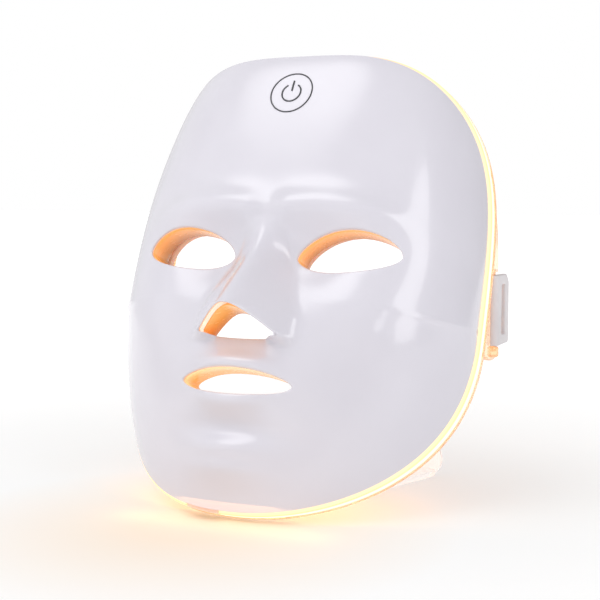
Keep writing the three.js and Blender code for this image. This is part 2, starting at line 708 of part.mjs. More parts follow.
// ---- silicone guards round the eyes, towards the wearer ----
const guardFront = (x, z) => innerSurface(x, z) + INNER_WALL + 1.5;
const guardBack = (x, z) => innerSurface(x, z) + INNER_WALL + 7;
const guard = wall(eyeOutline(1, 1.7), eyeOutline(1, 4), guardFront, guardBack);
addLeaning('eye_guard_left', 'silicone', guard);
addLeaning('eye_guard_right', 'silicone', mirror(guard));

// ---- screws ----
function screw(x, z, seatY, length) {
  const head = pinY(x, z, 2.7, seatY + 0.1, seatY + 1.9, 14);
  const shank = pinY(x, z, 1.1, seatY - length, seatY + 0.5, 8);
  const slots = [
    box(x - 1.5, x + 1.5, seatY + 1, seatY + 3, z - 0.3, z + 0.3),
    box(x - 0.3, x + 0.3, seatY + 1, seatY + 3, z - 1.5, z + 1.5),
  ];
  return cut(join(head, shank), ...slots);
}
seats.forEach((s, i) => {
  const seatY = s.high + 2.2;
  addLeaning(`screw_${i + 1}`, 'screw_steel', screw(s.x, s.z, seatY, seatY - s.low + 5));
});

// ---- clear foot: a plate on the ground with a tab screwed to the flange at the chin ----
const tabFront = flangeBack + GAP;
const tabHoles = footSpots.map((p) => pinY(p.x, p.z, 1.4, p.y - 2, p.y + TAB + 3, 10));
const tabRing = rimRing(-12, RIM_OUT, tabFront, tabFront + TAB, 72);
const tabPlaced = weld(cut(slice(tabRing, box(-25, 25, -60, 0, -140, -80)), ...tabHoles));
tabPlaced.applyMatrix4(lean);

function footPlate() {
  const shape = new THREE.Shape();
  const corner = [FOOT_HALF - 3, FOOT_REAR - FOOT_CORNER];
  shape.moveTo(-FOOT_NOSE, FOOT_FRONT + 1.6);
  shape.quadraticCurveTo(0, FOOT_FRONT - 1.2, FOOT_NOSE, FOOT_FRONT + 1.6);
  shape.quadraticCurveTo(FOOT_NOSE + 5, FOOT_FRONT + 3.5, FOOT_NOSE + 7, FOOT_FRONT + 9);
  shape.lineTo(...corner);
  shape.quadraticCurveTo(corner[0] + 2.5, FOOT_REAR, corner[0] - 6, FOOT_REAR);
  shape.lineTo(6 - corner[0], FOOT_REAR);
  shape.quadraticCurveTo(-corner[0] - 2.5, FOOT_REAR, -corner[0], corner[1]);
  shape.lineTo(-FOOT_NOSE - 7, FOOT_FRONT + 9);
  shape.quadraticCurveTo(-FOOT_NOSE - 5, FOOT_FRONT + 3.5, -FOOT_NOSE, FOOT_FRONT + 1.6);
  return extruded(shape, FOOT_THICK, 6);
}

// upright plate along the rear edge, with its corners rounded
function footLip() {
  const half = FOOT_HALF;
  const r = LIP_CORNER;
  const shape = new THREE.Shape();
  shape.moveTo(r - half, 0);
  shape.lineTo(half - r, 0);
  shape.quadraticCurveTo(half, 0, half, r);
  shape.lineTo(half, LIP_HEIGHT - r);
  shape.quadraticCurveTo(half, LIP_HEIGHT, half - r, LIP_HEIGHT);
  shape.lineTo(r - half, LIP_HEIGHT);
  shape.quadraticCurveTo(-half, LIP_HEIGHT, -half, LIP_HEIGHT - r);
  shape.lineTo(-half, r);
  shape.quadraticCurveTo(-half, 0, r - half, 0);
  const g = extruded(shape, LIP_THICK, 6);
  g.rotateX(Math.PI / 2);
  g.translate(0, FOOT_REAR, 0);
  return g;
}
const ground = new THREE.Matrix4().makeTranslation(0, SHIFT_Y, 0);
const footBase = weld(join(footPlate(), footLip()));
footBase.applyMatrix4(ground);
add('chin_foot', 'clear_plastic', join(tabPlaced, footBase));
footSpots.forEach((p, i) => {
  const seatY = p.y + GAP + TAB + 0.9;
  addLeaning(`foot_screw_${i + 1}`, 'screw_steel', screw(p.x, p.z, seatY, TAB + FLANGE + 5));
});

// ---- strap buckle: a clip round the lug bar that carries a slotted plate and swings on it ----
function bucklePlate() {
  const [r, h] = [BUCKLE_REAR, BUCKLE_HALF];
  const shape = new THREE.Shape();
  shape.moveTo(0, -h);
  shape.lineTo(r - 2, -h);
  shape.quadraticCurveTo(r, -h, r, 2 - h);
  shape.lineTo(r, h - 4);
  shape.lineTo(r - 4, h);
  shape.lineTo(0, h);
  shape.lineTo(0, -h);
  const slot = new THREE.Path();
  slot.moveTo(SLOT_FRONT, -SLOT_HALF);
  slot.lineTo(SLOT_FRONT, SLOT_HALF);
  slot.lineTo(SLOT_REAR, SLOT_HALF);
  slot.lineTo(SLOT_REAR, -SLOT_HALF);
  slot.lineTo(SLOT_FRONT, -SLOT_HALF);
  shape.holes.push(slot);
  const g = extruded(shape, BUCKLE_OUTER - BUCKLE_INNER, 4);
  // the drawn axes (depth, height, outward) become (y, z, x)
  g.applyMatrix4(new THREE.Matrix4().set(0, 0, 1, BUCKLE_INNER, 1, 0, 0, 0, 0, 1, 0, 0, 0, 0, 0, 1));
  return cut(g, pinZ(0, 0, CLIP_BORE + 0.4, -2 * h, 2 * h));
}

function clip() {
  const shape = new THREE.Shape();
  const from = Math.PI + CLIP_GAP;
  const to = 3 * Math.PI - CLIP_GAP;
  shape.absarc(0, 0, BUCKLE_OUTER, from, to, false);
  shape.absarc(0, 0, CLIP_BORE, to, from, true);
  const g = extruded(shape, 2 * BUCKLE_HALF, 14);
  g.translate(0, 0, -BUCKLE_HALF);
  return g;
}

const ribs = Array.from({ length: RIB_COUNT }, (_, i) => {
  const z = 4 - BUCKLE_HALF + i * RIB_PITCH;
  return box(BUCKLE_INNER + 0.4, BUCKLE_OUTER - 0.4, BUCKLE_REAR - 0.5, BUCKLE_REAR + 0.6, z, z + 1.1);
});
const buckle = onBar(join(bucklePlate(), clip(), ...ribs));
addLeaning('buckle_left', 'buckle_plastic', buckle);
addLeaning('buckle_right', 'buckle_plastic', mirror(buckle));

export default group;
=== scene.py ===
"""LED face mask: the looks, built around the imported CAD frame.

Shapes are drawn in millimetres on the upright mask (x wearer's left, y depth, z up from the
bridge of the nose) and placed in the row frame, in metres, by leaning().
"""

import math

import bmesh
import bpy
import numpy as np
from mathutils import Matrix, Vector, geometry, kdtree


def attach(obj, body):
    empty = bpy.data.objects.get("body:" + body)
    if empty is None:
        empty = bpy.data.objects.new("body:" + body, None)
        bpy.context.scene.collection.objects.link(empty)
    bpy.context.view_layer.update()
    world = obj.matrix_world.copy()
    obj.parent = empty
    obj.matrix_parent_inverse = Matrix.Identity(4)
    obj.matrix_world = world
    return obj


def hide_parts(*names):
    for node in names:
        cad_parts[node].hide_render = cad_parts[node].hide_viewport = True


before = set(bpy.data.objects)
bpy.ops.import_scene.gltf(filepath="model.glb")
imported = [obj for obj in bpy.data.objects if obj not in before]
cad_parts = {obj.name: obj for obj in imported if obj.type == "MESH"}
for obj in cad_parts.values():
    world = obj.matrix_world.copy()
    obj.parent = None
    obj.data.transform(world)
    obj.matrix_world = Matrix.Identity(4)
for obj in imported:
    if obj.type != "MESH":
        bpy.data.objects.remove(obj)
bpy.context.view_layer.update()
MM = 0.001

# ---- driving dimensions of the mask, as in the CAD (mm) ----
LEAN = math.radians(19.9)  # how far the mask leans back
LEAN_COS, LEAN_SIN = math.cos(LEAN), math.sin(LEAN)
SHIFT_Y, SHIFT_Z = 15.31, 103.55  # where the upright mask's origin stands
HALF_WIDTH = 87.8
CENTRE_Z = -27.0  # height at which the outline is widest
TOP_RADIUS, BOTTOM_RADIUS = 121.5, 92.0
TOP_POWER, BOTTOM_POWER = 3.65, 2.16  # how square the outline is above and below
FRONT_Y = -44.8  # foremost depth of the plain surface
RIM_Y = 5.0
TOP_FALL, BOTTOM_FALL = 38.0, 46.0  # how far the rim comes forward at forehead and chin
EYE_X, EYE_Z, EYE_HALF, EYE_UP, EYE_DOWN = 39.2, -4.4, 23.6, 11.6, 7.6
MOUTH_Z, MOUTH_HALF, MOUTH_LIFT = -65.0, 26.3, 5.7
NOSTRIL_HALF, NOSTRIL_TOP, NOSTRIL_FALL, NOSTRIL_BOTTOM = 18.0, -35.0, 8.5, -44.6
NOSE_HEIGHT = 24.5
WALL, INNER_WALL = 2.0, 1.5
INNER_SHRINK, INNER_DROP = 8.0, 12.0  # how much smaller and deeper the inner shell is
COLLAR = 1.3
RIM_GAP, RIM_DEPTH, RIM_OUT = 0.8, 5.0, 1.3
GAP = 0.3
FLANGE = 2.0
FLANGE_FRONT = RIM_GAP + RIM_DEPTH + GAP
FLANGE_BACK = FLANGE_FRONT + FLANGE
BAR = np.array([87.3, 23.0, -9.8])  # middle of the left strap bar
BAR_RADIUS, BAR_HALF = 1.5, 19.0
BOSS_RADIUS = 3.3
WINDOW_HALF = 16.6
WING_TOP, WING_REACH, LUG_BOTTOM = 62.0, 12.8, -34.0
BUCKLE_HALF, BUCKLE_REAR = 16.2, 16.0
BUCKLE_INNER, BUCKLE_OUTER = 1.0, 3.6
CLIP_BORE, CLIP_GAP = 1.9, 0.6  # the clip's bore, and half of its mouth in radians
SLOT_MIDDLE, SLOT_HALF_DEPTH, SLOT_HALF = 7.0, 3.1, 11.5
RIB_COUNT, RIB_PITCH = 7, 2.4
FOOT_THICK, FOOT_FRONT, FOOT_REAR = 3.0, -68.9, 50.0
FOOT_HALF, FOOT_NOSE = 53.5, 12.0
LIP_HEIGHT, LIP_THICK = 16.0, 2.6
TAB = 2.4  # thickness of the foot's tab
SCREWS = [(sx * x, z) for x, z in ((40, 70), (68, -56), (31, -97)) for sx in (1, -1)]
SCREW_PAD = 3.6  # radius of the inner shell's pads under the screws
FOOT_SCREW_TURNS = (0.03, 0.24)  # from the chin round the rim, radians
PORT_PHI = -math.pi / 2 - 0.125  # where the charging port sits on the rim
MARK_Z = 73.5  # height of the touch mark
POLE = np.array([0.0, -30.0])  # middle of the flat drawings of the shells

# ---- camera: the photograph's viewing angle (degrees, metres) ----
CAMERA_AZIMUTH, CAMERA_ELEVATION = 25.26, 4.99
CAMERA_DISTANCE = 0.6053
CAMERA_TARGET = Vector((-0.0006, 0.01367, 0.08948))
CAMERA_LENS = 76.66

# ---- studio: direction of the bright side of the room, and of the soft patch overhead ----
BRIGHT_SIDE = (-0.76, -0.58, 0.3)
OVERHEAD = (-0.31, -0.34, 0.888)
ORANGE = (1.0, 0.5, 0.16)
# name, place, aim, width and height, watts, colour
SOFTBOXES = [
    ("key_left", (-1.0, -0.9, 0.7), (0, 0, 0.1), (1.3, 1.3), 1.2, (1, 1, 1)),
    ("temple_right", (0.75, -0.35, 0.45), (0.03, -0.03, 0.12), (0.22, 0.7), 1.3, (1, 1, 1)),
    ("cheek_right", (0.6, -0.6, 0.32), (0.04, -0.04, 0.08), (0.12, 0.12), 0.1, (1, 1, 1)),
    ("lamps_on_floor", (0.0, -0.018, 0.045), (0.0, -0.033, 0.0), (0.08, 0.036), 0.05, ORANGE),
    ("rim_on_floor", (0.0, -0.066, 0.01), (0.0, -0.068, 0.0), (0.1, 0.012), 0.005, (1.0, 0.45, 0.14)),
]


# ---- the face's surfaces ----
def at(x, y, z):
    """Points from their coordinates, each one an array or a number."""
    return np.stack(np.broadcast_arrays(x, y, z), axis=-1)


def smooth(t):
    c = np.clip(t, 0, 1)
    return c * c * (3 - 2 * c)


def outline(phi, grow=0.0):
    """The mask's outline at an angle, moved outwards by grow."""
    c, s = np.cos(phi), np.sin(phi)
    power = np.where(s >= 0, TOP_POWER, BOTTOM_POWER)
    radius = np.where(s >= 0, TOP_RADIUS, BOTTOM_RADIUS) + grow
    x = (HALF_WIDTH + grow) * np.sign(c) * np.abs(c) ** (2 / power)
    z = radius * np.sign(s) * np.abs(s) ** (2 / power)
    return np.stack([x, z + CENTRE_Z], axis=-1)


def rim_depth(weight, up):
    return np.where(up, RIM_Y - TOP_FALL * weight**1.5, RIM_Y - BOTTOM_FALL * weight**1.25)


def wrap(x, z, grow=0.0):
    """Depth of the plain wrap-around surface, how far out a point is, and how far up or down."""
    dz = z - CENTRE_Z
    up = dz >= 0
    power = np.where(up, TOP_POWER, BOTTOM_POWER)
    radius = np.where(up, TOP_RADIUS, BOTTOM_RADIUS) + grow
    a = np.abs(x / (HALF_WIDTH + grow)) ** power
    b = np.abs(dz / radius) ** power
    total = a + b
    rho = np.minimum(1, total ** (1 / power))
    weight = b / np.maximum(total, 1e-9)
    flare = np.where(up, 1 - 0.05 * weight, 1 - 0.09 * weight**0.6)
    full = 1 - np.sqrt(np.maximum(0, 1 - flare**3))
    part = 1 - np.sqrt(np.maximum(0, 1 - (flare * rho) ** 3))
    depth = FRONT_Y + (rim_depth(weight, up) - FRONT_Y) * part / full
    return depth, rho, weight


def wrap_normal(x, z, grow=0.0):
    """Outward direction of the plain surface, taken just inside the rim."""
    u, v, h = x * 0.985, CENTRE_Z + (z - CENTRE_Z) * 0.985, 0.4
    fx = (wrap(u + h, v, grow)[0] - wrap(u - h, v, grow)[0]) / (2 * h)
    fz = (wrap(u, v + h, grow)[0] - wrap(u, v - h, grow)[0]) / (2 * h)
    n = at(fx, -1.0, fz)
    return n / np.linalg.norm(n, axis=-1, keepdims=True)


def rim_back(phi):
    """Depth of the back of the front shell at its rim."""
    x, z = np.moveaxis(outline(phi), -1, 0)
    s = np.sin(phi)
    return rim_depth(s * s, s >= 0) - WALL * wrap_normal(x, z)[..., 1]


def nose_top(x):
    """Height of the upper edge of the nose opening."""
    ax = np.minimum(NOSTRIL_HALF, np.sqrt(x * x + 6))
    return NOSTRIL_TOP - NOSTRIL_FALL * np.maximum(0, (ax - 2.45) / 15.55) ** 1.35


def bump(x, z, cx, cz, sx, sz):
    return np.exp(-(((x - cx) / sx) ** 2) - ((z - cz) / sz) ** 2)


def nose(x, z):
    t = np.clip((12 - z) / 47, 0, 1)
    height = NOSE_HEIGHT * t**1.1
    half = 9 + 11.5 * smooth((6 - z) / 46)
    blunt = 2 + 2.6 * t * t
    side = np.sqrt(x * x + blunt * blunt) - blunt
    q = 1 - side / half
    ridge = np.maximum(0, 0.5 * (q + np.sqrt(q * q + 0.012)) - 0.012)
    under = nose_top(x) - 2.5 * np.maximum(0, 1 - (x / NOSTRIL_HALF) ** 2)
    return height * ridge * smooth((z - (under - 5)) / 5)


def features(x, z):
    """Everything that stands forward of the plain surface, without the nose."""
    ax = np.hypot(x, 5)
    # the mouth's mound, and the lips on it
    r = 9.5 * bump(x, z, 0, -62, 36, 26)
    r = r + 3.2 * np.exp(-(((z + 56.5 + 0.004 * ax * ax) / 4.2) ** 2)) * np.exp(-((ax / 19) ** 4))
    r = r + 4.0 * np.exp(-(((z + 74 - 0.01 * ax * ax) / 5) ** 2)) * np.exp(-((ax / 17) ** 4))
    # the furrow under the lip, and the chin with its dimple
    r = r - 3.0 * bump(x, z, 0, -85, 20, 5)
    r = r + 7.6 * bump(x, z, 0, -99, 22, 13)
    r = r - 1.3 * bump(x, z, 0, -97.5, 17, 3.2)
    # cheekbones and eye sockets
    r = r + 4.0 * bump(ax, z, 52, -34, 24, 20)
    r = r - 6.5 * bump(ax, z, 24, -6, 17, 13)
    brow = 17 + 0.1 * (ax - 14) - 0.004 * (ax - 14) ** 2
    return r + 4.5 * np.exp(-(((z - brow) / 8) ** 2)) * smooth((ax + 4) / 16) * smooth((72 - ax) / 30)


def front_surface(x, z):
    depth, rho, _ = wrap(x, z)
    return depth - (features(x, z) + nose(x, z)) * (1 - rho**6)


def inner_surface(x, z):
    depth, rho, weight = wrap(x, z, -INNER_SHRINK)
    relief = 0.8 * features(x, z) + 0.72 * nose(x, z)
    drop = INNER_DROP + (RIM_DEPTH + 1.6 + 1.6 * weight - INNER_DROP) * rho**5
    return depth + drop - relief * (1 - rho**6)


def between(x, z, level):
    """A level between the shells: 0 at the back of the front shell, 1 at the inner shell."""
    a = front_surface(x, z) + WALL
    return a + (inner_surface(x, z) - a) * level


# ---- openings ----
def turns(count):
    return 2 * np.pi * np.arange(count) / count


def eye_outline(side, grow=0.0, count=150):
    t = turns(count)
    s = np.sin(t)
    lift = np.where(s > 0, EYE_UP, EYE_DOWN) + grow
    x = EYE_X + (EYE_HALF + grow) * np.cos(t)
    z = EYE_Z + 1.6 * np.cos(t) + np.sign(s) * lift * np.abs(s) ** 1.15
    return np.stack([side * x, z], axis=-1)


def mouth_outline(grow=0.0, count=130):
    t = turns(count)
    s = np.sin(t)
    z = MOUTH_Z + (MOUTH_LIFT + grow) * np.sign(s) * np.abs(s) ** 1.2
    return np.stack([(MOUTH_HALF + grow) * np.cos(t), z], axis=-1)


def nose_outline(grow=0.0, count=46):
    half = NOSTRIL_HALF + grow
    x = np.linspace(-half, half, count)
    top = np.stack([x, nose_top(x * NOSTRIL_HALF / half) + grow], axis=-1)
    back = x[::-1]
    bottom = np.stack([back, NOSTRIL_BOTTOM - grow - 1.2 * (1 - (back / half) ** 2)], axis=-1)
    return np.concatenate([top, bottom])


def openings(grow=0.0):
    return [eye_outline(1, grow), eye_outline(-1, grow), mouth_outline(grow), nose_outline(grow)]


# ---- meshes ----
def leaning(p):
    """Upright mask, mm, to row frame, metres."""
    x, y, z = np.moveaxis(np.asarray(p, float), -1, 0)
    return at(x, y * LEAN_COS + z * LEAN_SIN + SHIFT_Y, -y * LEAN_SIN + z * LEAN_COS + SHIFT_Z) * MM


def standing(p):
    """The foot's own upright place, mm, to row frame, metres."""
    return (np.asarray(p, float) + [0, SHIFT_Y, 0]) * MM


def straightened(p):
    """Points of the leaning frame, turned back into the upright mask's."""
    x, y, z = np.moveaxis(np.asarray(p, float), -1, 0)
    return at(x, y * LEAN_COS - z * LEAN_SIN, y * LEAN_SIN + z * LEAN_COS)


def on_bar(part):
    """A piece drawn upright round the strap bar's axis, brought into the mask's frame."""
    points, faces = part
    return straightened(points) + BAR, faces


def oriented(loop, ccw):
    """The loop turned so that it runs counterclockwise, or clockwise."""
    loop = np.asarray(loop, float)
    nxt = np.roll(loop, -1, 0)
    area = (loop[:, 0] * nxt[:, 1] - nxt[:, 0] * loop[:, 1]).sum()
    return loop if (area > 0) == ccw else loop[::-1]


def walk(loop, step):
    """The loop with its long sides divided, so that no side is longer than a step."""
    out = []
    for a, b in zip(loop, np.roll(loop, -1, 0)):
        n = max(1, int(math.ceil(np.linalg.norm(b - a) / step)))
        out += [a + (b - a) * k / n for k in range(n)]
    return np.array(out)


def inset(loop, distance):
    """The loop moved to its left by a distance, with mitred corners."""

    def unit(v):
        return v / np.maximum(np.linalg.norm(v, axis=1, keepdims=True), 1e-9)

    a, b = unit(loop - np.roll(loop, 1, 0)), unit(np.roll(loop, -1, 0) - loop)
    n = np.stack([-a[:, 1] - b[:, 1], a[:, 0] + b[:, 0]], axis=-1)
    return loop + distance * n / np.maximum((n * n).sum(1, keepdims=True) / 2, 0.35)


def inside(points, loop):
    """Which points are inside a closed loop."""
    found = np.zeros(len(points), bool)
    x, y = points[:, 0], points[:, 1]
    for (ax, ay), (bx, by) in zip(loop, np.roll(loop, -1, 0)):
        if ay != by:
            crosses = ((ay > y) != (by > y)) & (x < (bx - ax) * (y - ay) / (by - ay) + ax)
            found ^= crosses
    return found


def on_plate(points, loops):
    """Which points are inside the first loop and outside the others."""
    found = inside(points, loops[0])
    for hole in loops[1:]:
        found &= ~inside(points, hole)
    return found


def hexes(lo, hi, step):
    """A field of points in staggered rows."""
    across = np.arange(lo[0], hi[0], step)
    rows = np.arange(lo[1], hi[1], step * 0.866)
    out = [np.stack([across + step / 2 * (k % 2), np.full_like(across, v)], -1) for k, v in enumerate(rows)]
    return np.concatenate(out)


def plate(rim, holes, lift, thickness, step, bevel=0.4, rounds=3, back_bevel=None, fine=None):
    """A closed solid over a flat outline with holes and rounded edges. lift(uv, w) places a
    point of the outline's plane at w mm behind the front face. Gives points and faces."""
    back_bevel = bevel if back_bevel is None else back_bevel
    loops = [oriented(walk(rim, step), True)] + [oriented(walk(h, step), False) for h in holes]
    points, rounding, edges, first = [], [], [], []
    count = 0
    for loop in loops:
        for k in range(rounds + 1):
            a = math.pi / 2 * k / rounds
            ring = inset(loop, max(bevel, back_bevel) * (1 - math.cos(a)))
            index = np.arange(count, count + len(ring))
            points.append(ring)
            rounding.append(np.full(len(ring), 1 - math.sin(a)))
            edges += list(zip(index.tolist(), np.roll(index, -1).tolist()))
            if k == 0:
                first.append(index)
            count += len(ring)
    rings = np.concatenate(points)
    # points inside the outline, closer together in the fine part, and not too near the rings
    grid = hexes(rings.min(0), rings.max(0), step)
    spacing = np.full(len(grid), step)
    if fine:
        x0, x1, z0, z1, small = fine

        def within(g):
            return (g[:, 0] > x0) & (g[:, 0] < x1) & (g[:, 1] > z0) & (g[:, 1] < z1)

        more = hexes((x0, z0), (x1, z1), small)
        more = more[within(more)]
        grid = np.concatenate([grid[~within(grid)], more])
        spacing = np.concatenate([np.full(len(grid) - len(more), step), np.full(len(more), small)])
    keep = on_plate(grid, loops)
    grid, spacing = grid[keep], spacing[keep]
    tree = kdtree.KDTree(len(rings))
    for i, p in enumerate(rings):
        tree.insert((p[0], p[1], 0), i)
    tree.balance()
    keep = [tree.find((g[0], g[1], 0))[2] > 0.6 * s for g, s in zip(grid, spacing)]
    grid = grid[np.array(keep, bool)] if len(grid) else grid
    flat = np.concatenate([rings, grid]) if len(grid) else rings
    rounding = np.concatenate(rounding + [np.zeros(len(grid))])
    coords = [Vector(p) for p in flat.tolist()]
    tris, origin = geometry.delaunay_2d_cdt(coords, edges, [], 0, 1e-7)[2:4]
    back_to = [o[0] if o else -1 for o in origin]
    tris = np.array([[back_to[i] for i in t] for t in tris])
    tris = tris[(tris >= 0).all(1)]
    tris = tris[on_plate(flat[tris].mean(1), loops)]
    n = len(flat)
    front = lift(flat, bevel * rounding)
    back = lift(flat, thickness - back_bevel * rounding)
    faces = tris.tolist() + (tris[:, ::-1] + n).tolist()
    for ring in first:
        nxt = np.roll(ring, -1)
        faces += np.stack([ring, ring + n, nxt + n, nxt], -1).tolist()
    return np.concatenate([front, back]), faces


def loft(rings, closed=False, capped=True):
    """Rings of points joined into a skin; closed joins the last to the first."""
    sections = np.array(rings)
    steps, around = sections.shape[:2]
    points = sections.reshape(-1, 3)
    faces = []
    for i in range(steps if closed else steps - 1):
        a, b = i * around, ((i + 1) % steps) * around
        for k in range(around):
            k1 = (k + 1) % around
            faces.append([a + k, b + k, b + k1, a + k1])
    if not closed and capped:
        faces.append(list(range(around)))
        faces.append(list(range((steps - 1) * around, steps * around))[::-1])
    return points, faces


def circles(x, z, profile, sides):
    """Rings round an axis along the depth; profile is (radius, depth) pairs."""
    a = turns(sides)
    return np.array([at(x + r * np.cos(a), y, z + r * np.sin(a)) for r, y in profile])


def facing(depth):
    """How a plate seen from the front is lifted: depth(x, z, w) is the depth of a point, w mm in."""
    return lambda flat, w: at(flat[:, 0], depth(flat[:, 0], flat[:, 1], w), flat[:, 1])


def rounded(w, h, r, per=4):
    """A rounded rectangle's outline round its centre."""
    out = []
    for cx, cy, a0 in ((w - r, h - r, 0), (r - w, h - r, 90), (r - w, r - h, 180), (w - r, r - h, 270)):
        for k in range(per + 1):
            a = math.radians(a0 + 90 * k / per)
            out.append((cx + r * math.cos(a), cy + r * math.sin(a)))
    return np.array(out)


def merge(*parts):
    """Several (points, faces) as one."""
    points, faces, n = [], [], 0
    for p, f in parts:
        points.append(p)
        faces += [[i + n for i in face] for face in f]
        n += len(p)
    return np.concatenate(points), faces


def mirrored(part):
    """The part's image on the other side of the face."""
    points, faces = part
    return np.asarray(points) * [-1, 1, 1], [f[::-1] for f in faces]


def build(name, part, look, body="mask", nodes=(), place=leaning, sharp=None, paint=None, values=None):
    """Makes a piece from (points, faces) in mm, and hands it to its body. look names its
    material, or several that paint picks from; values are point attributes by name."""
    points, faces = part
    looks = [look] if isinstance(look, str) else look
    mesh = bpy.data.meshes.new(name)
    mesh.from_pydata(place(points).tolist(), [], faces)
    for name_of_look in looks:
        mesh.materials.append(M[name_of_look])
    if paint is not None:
        mesh.polygons.foreach_set("material_index", np.asarray(paint, np.int32))
    for key, numbers in (values or {}).items():
        values_at = mesh.attributes.new(key, "FLOAT", "POINT").data
        values_at.foreach_set("value", np.asarray(numbers, np.float32))
    work = bmesh.new()
    work.from_mesh(mesh)
    bmesh.ops.recalc_face_normals(work, faces=work.faces)
    work.to_mesh(mesh)
    work.free()
    mesh.shade_smooth()
    if sharp:
        mesh.set_sharp_from_angle(angle=math.radians(sharp))
    piece = bpy.data.objects.new(name, mesh)
    bpy.context.scene.collection.objects.link(piece)
    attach(piece, body)
    if nodes:
        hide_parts(*nodes)
    return piece


def build_sides(name, part, look, body="mask", nodes=(), **rest):
    """Makes a piece with left in its name, and its mirror image with right."""
    build(name, part, look, body, nodes, **rest)
    other_body, *other_nodes = [n.replace("left", "right") for n in (body, *nodes)]
    build(name.replace("left", "right"), mirrored(part), look, other_body, other_nodes, **rest)


# ---- materials ----
def fill(sockets, values):
    """Sets inputs by name, with _ for a space."""
    for key, value in values.items():
        sockets[key.replace("_", " ")].default_value = value


def shader(name, **values):
    """A material with a Principled shader; values are for its inputs by name."""
    material = bpy.data.materials.new(name)
    material.use_nodes = True
    principled = material.node_tree.nodes["Principled BSDF"]
    fill(principled.inputs, values)
    return material, material.node_tree, principled


def node(tree, kind, **values):
    made = tree.nodes.new("ShaderNode" + kind)
    fill(made.inputs, values)
    return made


def wire(tree, target, **sources):
    """Links outputs to the target's inputs by name."""
    for key, source in sources.items():
        tree.links.new(source, target.inputs[key.replace("_", " ")])


def coordinates(tree):
    return node(tree, "TexCoord").outputs["Object"]


def noise(tree, scale, detail=3.0, rough=0.5, vector=None):
    made = node(tree, "TexNoise", Scale=scale, Detail=detail, Roughness=rough)
    wire(tree, made, Vector=vector or coordinates(tree))
    return made.outputs["Fac"]


def ramp(tree, value, *stops):
    """Colours along a value; stops are (place, (r, g, b))."""
    made = node(tree, "ValToRGB")
    elements = made.color_ramp.elements
    while len(elements) < len(stops):
        elements.new(0.5)
    for element, (place, colour) in zip(elements, stops):
        element.position = place
        element.color = (*colour, 1)
    wire(tree, made, Fac=value)
    return made.outputs["Color"]


def mottled(tree, scale, detail, low, high):
    """A colour that wanders between two, as worn or moulded surfaces do."""
    return ramp(tree, noise(tree, scale, detail), (0.3, low), (0.7, high))


def spread(tree, value, low, high, start=0.0, end=1.0):
    """A value running from start to end, as low to high."""
    made = node(tree, "MapRange", From_Min=start, From_Max=end, To_Min=low, To_Max=high)
    wire(tree, made, Value=value)
    return made.outputs["Result"]


def measured(tree, vector, operation, other=(0, 0, 0)):
    """A vector's LENGTH, its DOT_PRODUCT with another, or its DISTANCE to another."""
    made = node(tree, "VectorMath")
    made.operation = operation
    made.inputs[1].default_value = other
    tree.links.new(vector, made.inputs[0])
    return made.outputs["Value"]


def raise_surface(tree, principled, value, distance, strength=1.0):
    made = node(tree, "Bump", Distance=distance, Strength=strength)
    wire(tree, made, Height=value)
    wire(tree, principled, Normal=made.outputs["Normal"])


def attribute(tree, name):
    made = node(tree, "Attribute")
    made.attribute_name = name
    return made.outputs["Fac"]


def shell_white():
    """Glossy injection-moulded white: faint flow mottling, faint handling marks."""
    material, tree, p = shader("shell_white", Roughness=0.2, Coat_Weight=0.6, Coat_Roughness=0.07,
                               IOR=1.5, Coat_IOR=1.5, Emission_Color=(1.0, 0.5, 0.18, 1))
    # painted light: the back of the wall and the sides of the openings are coloured orange and made to
    # glow, standing in for the lamps' light shining through
    lit = attribute(tree, "lit")
    warm = node(tree, "Mix")
    warm.data_type = "RGBA"
    wire(tree, warm, Factor=lit)
    tree.links.new(mottled(tree, 22, 4, (0.655, 0.635, 0.7), (0.69, 0.67, 0.735)), warm.inputs[6])
    warm.inputs[7].default_value = (0.95, 0.5, 0.22, 1)
    wire(tree, p, Base_Color=warm.outputs[2], Emission_Strength=spread(tree, lit, 0.0, 0.3),
         Roughness=spread(tree, noise(tree, 60, 6, 0.65), 0.16, 0.27))
    raise_surface(tree, p, noise(tree, 900, 2), 0.000012, 0.35)
    return material


def clear_plastic(name, glow, low, high, glow_tint=(1.0, 0.5, 0.22)):
    """Clear polycarbonate; its warm tint and its glow are painted lamp light."""
    material, tree, p = shader(name, Roughness=0.08, IOR=1.49, Transmission_Weight=0.9,
                               Emission_Strength=glow, Emission_Color=(*glow_tint, 1),
                               Coat_Weight=0.3, Coat_Roughness=0.03)
    wire(tree, p, Base_Color=mottled(tree, 30, 3, low, high),
         Roughness=spread(tree, noise(tree, 90, 5, 0.6), 0.05, 0.14))
    raise_surface(tree, p, noise(tree, 500, 2), 0.00001, 0.3)
    return material


def collar_glow():
    """The clear collars round the openings, with a painted orange glow: pale at the front, deeper orange
    and darker further back towards the wearer.
    """
    material, tree, p = shader("collar_glow", Roughness=0.3, IOR=1.49, Emission_Strength=0.2,
                               Coat_Weight=0.3, Coat_Roughness=0.1)
    colour = ramp(tree, attribute(tree, "along"), (0.0, (1.0, 0.86, 0.55)), (0.16, (0.95, 0.55, 0.2)),
                  (0.5, (0.9, 0.42, 0.1)), (1.0, (0.48, 0.19, 0.05)))
    wire(tree, p, Base_Color=colour, Emission_Color=colour,
         Roughness=spread(tree, noise(tree, 300, 3), 0.18, 0.34))
    raise_surface(tree, p, noise(tree, 700, 2), 0.00001, 0.3)
    return material


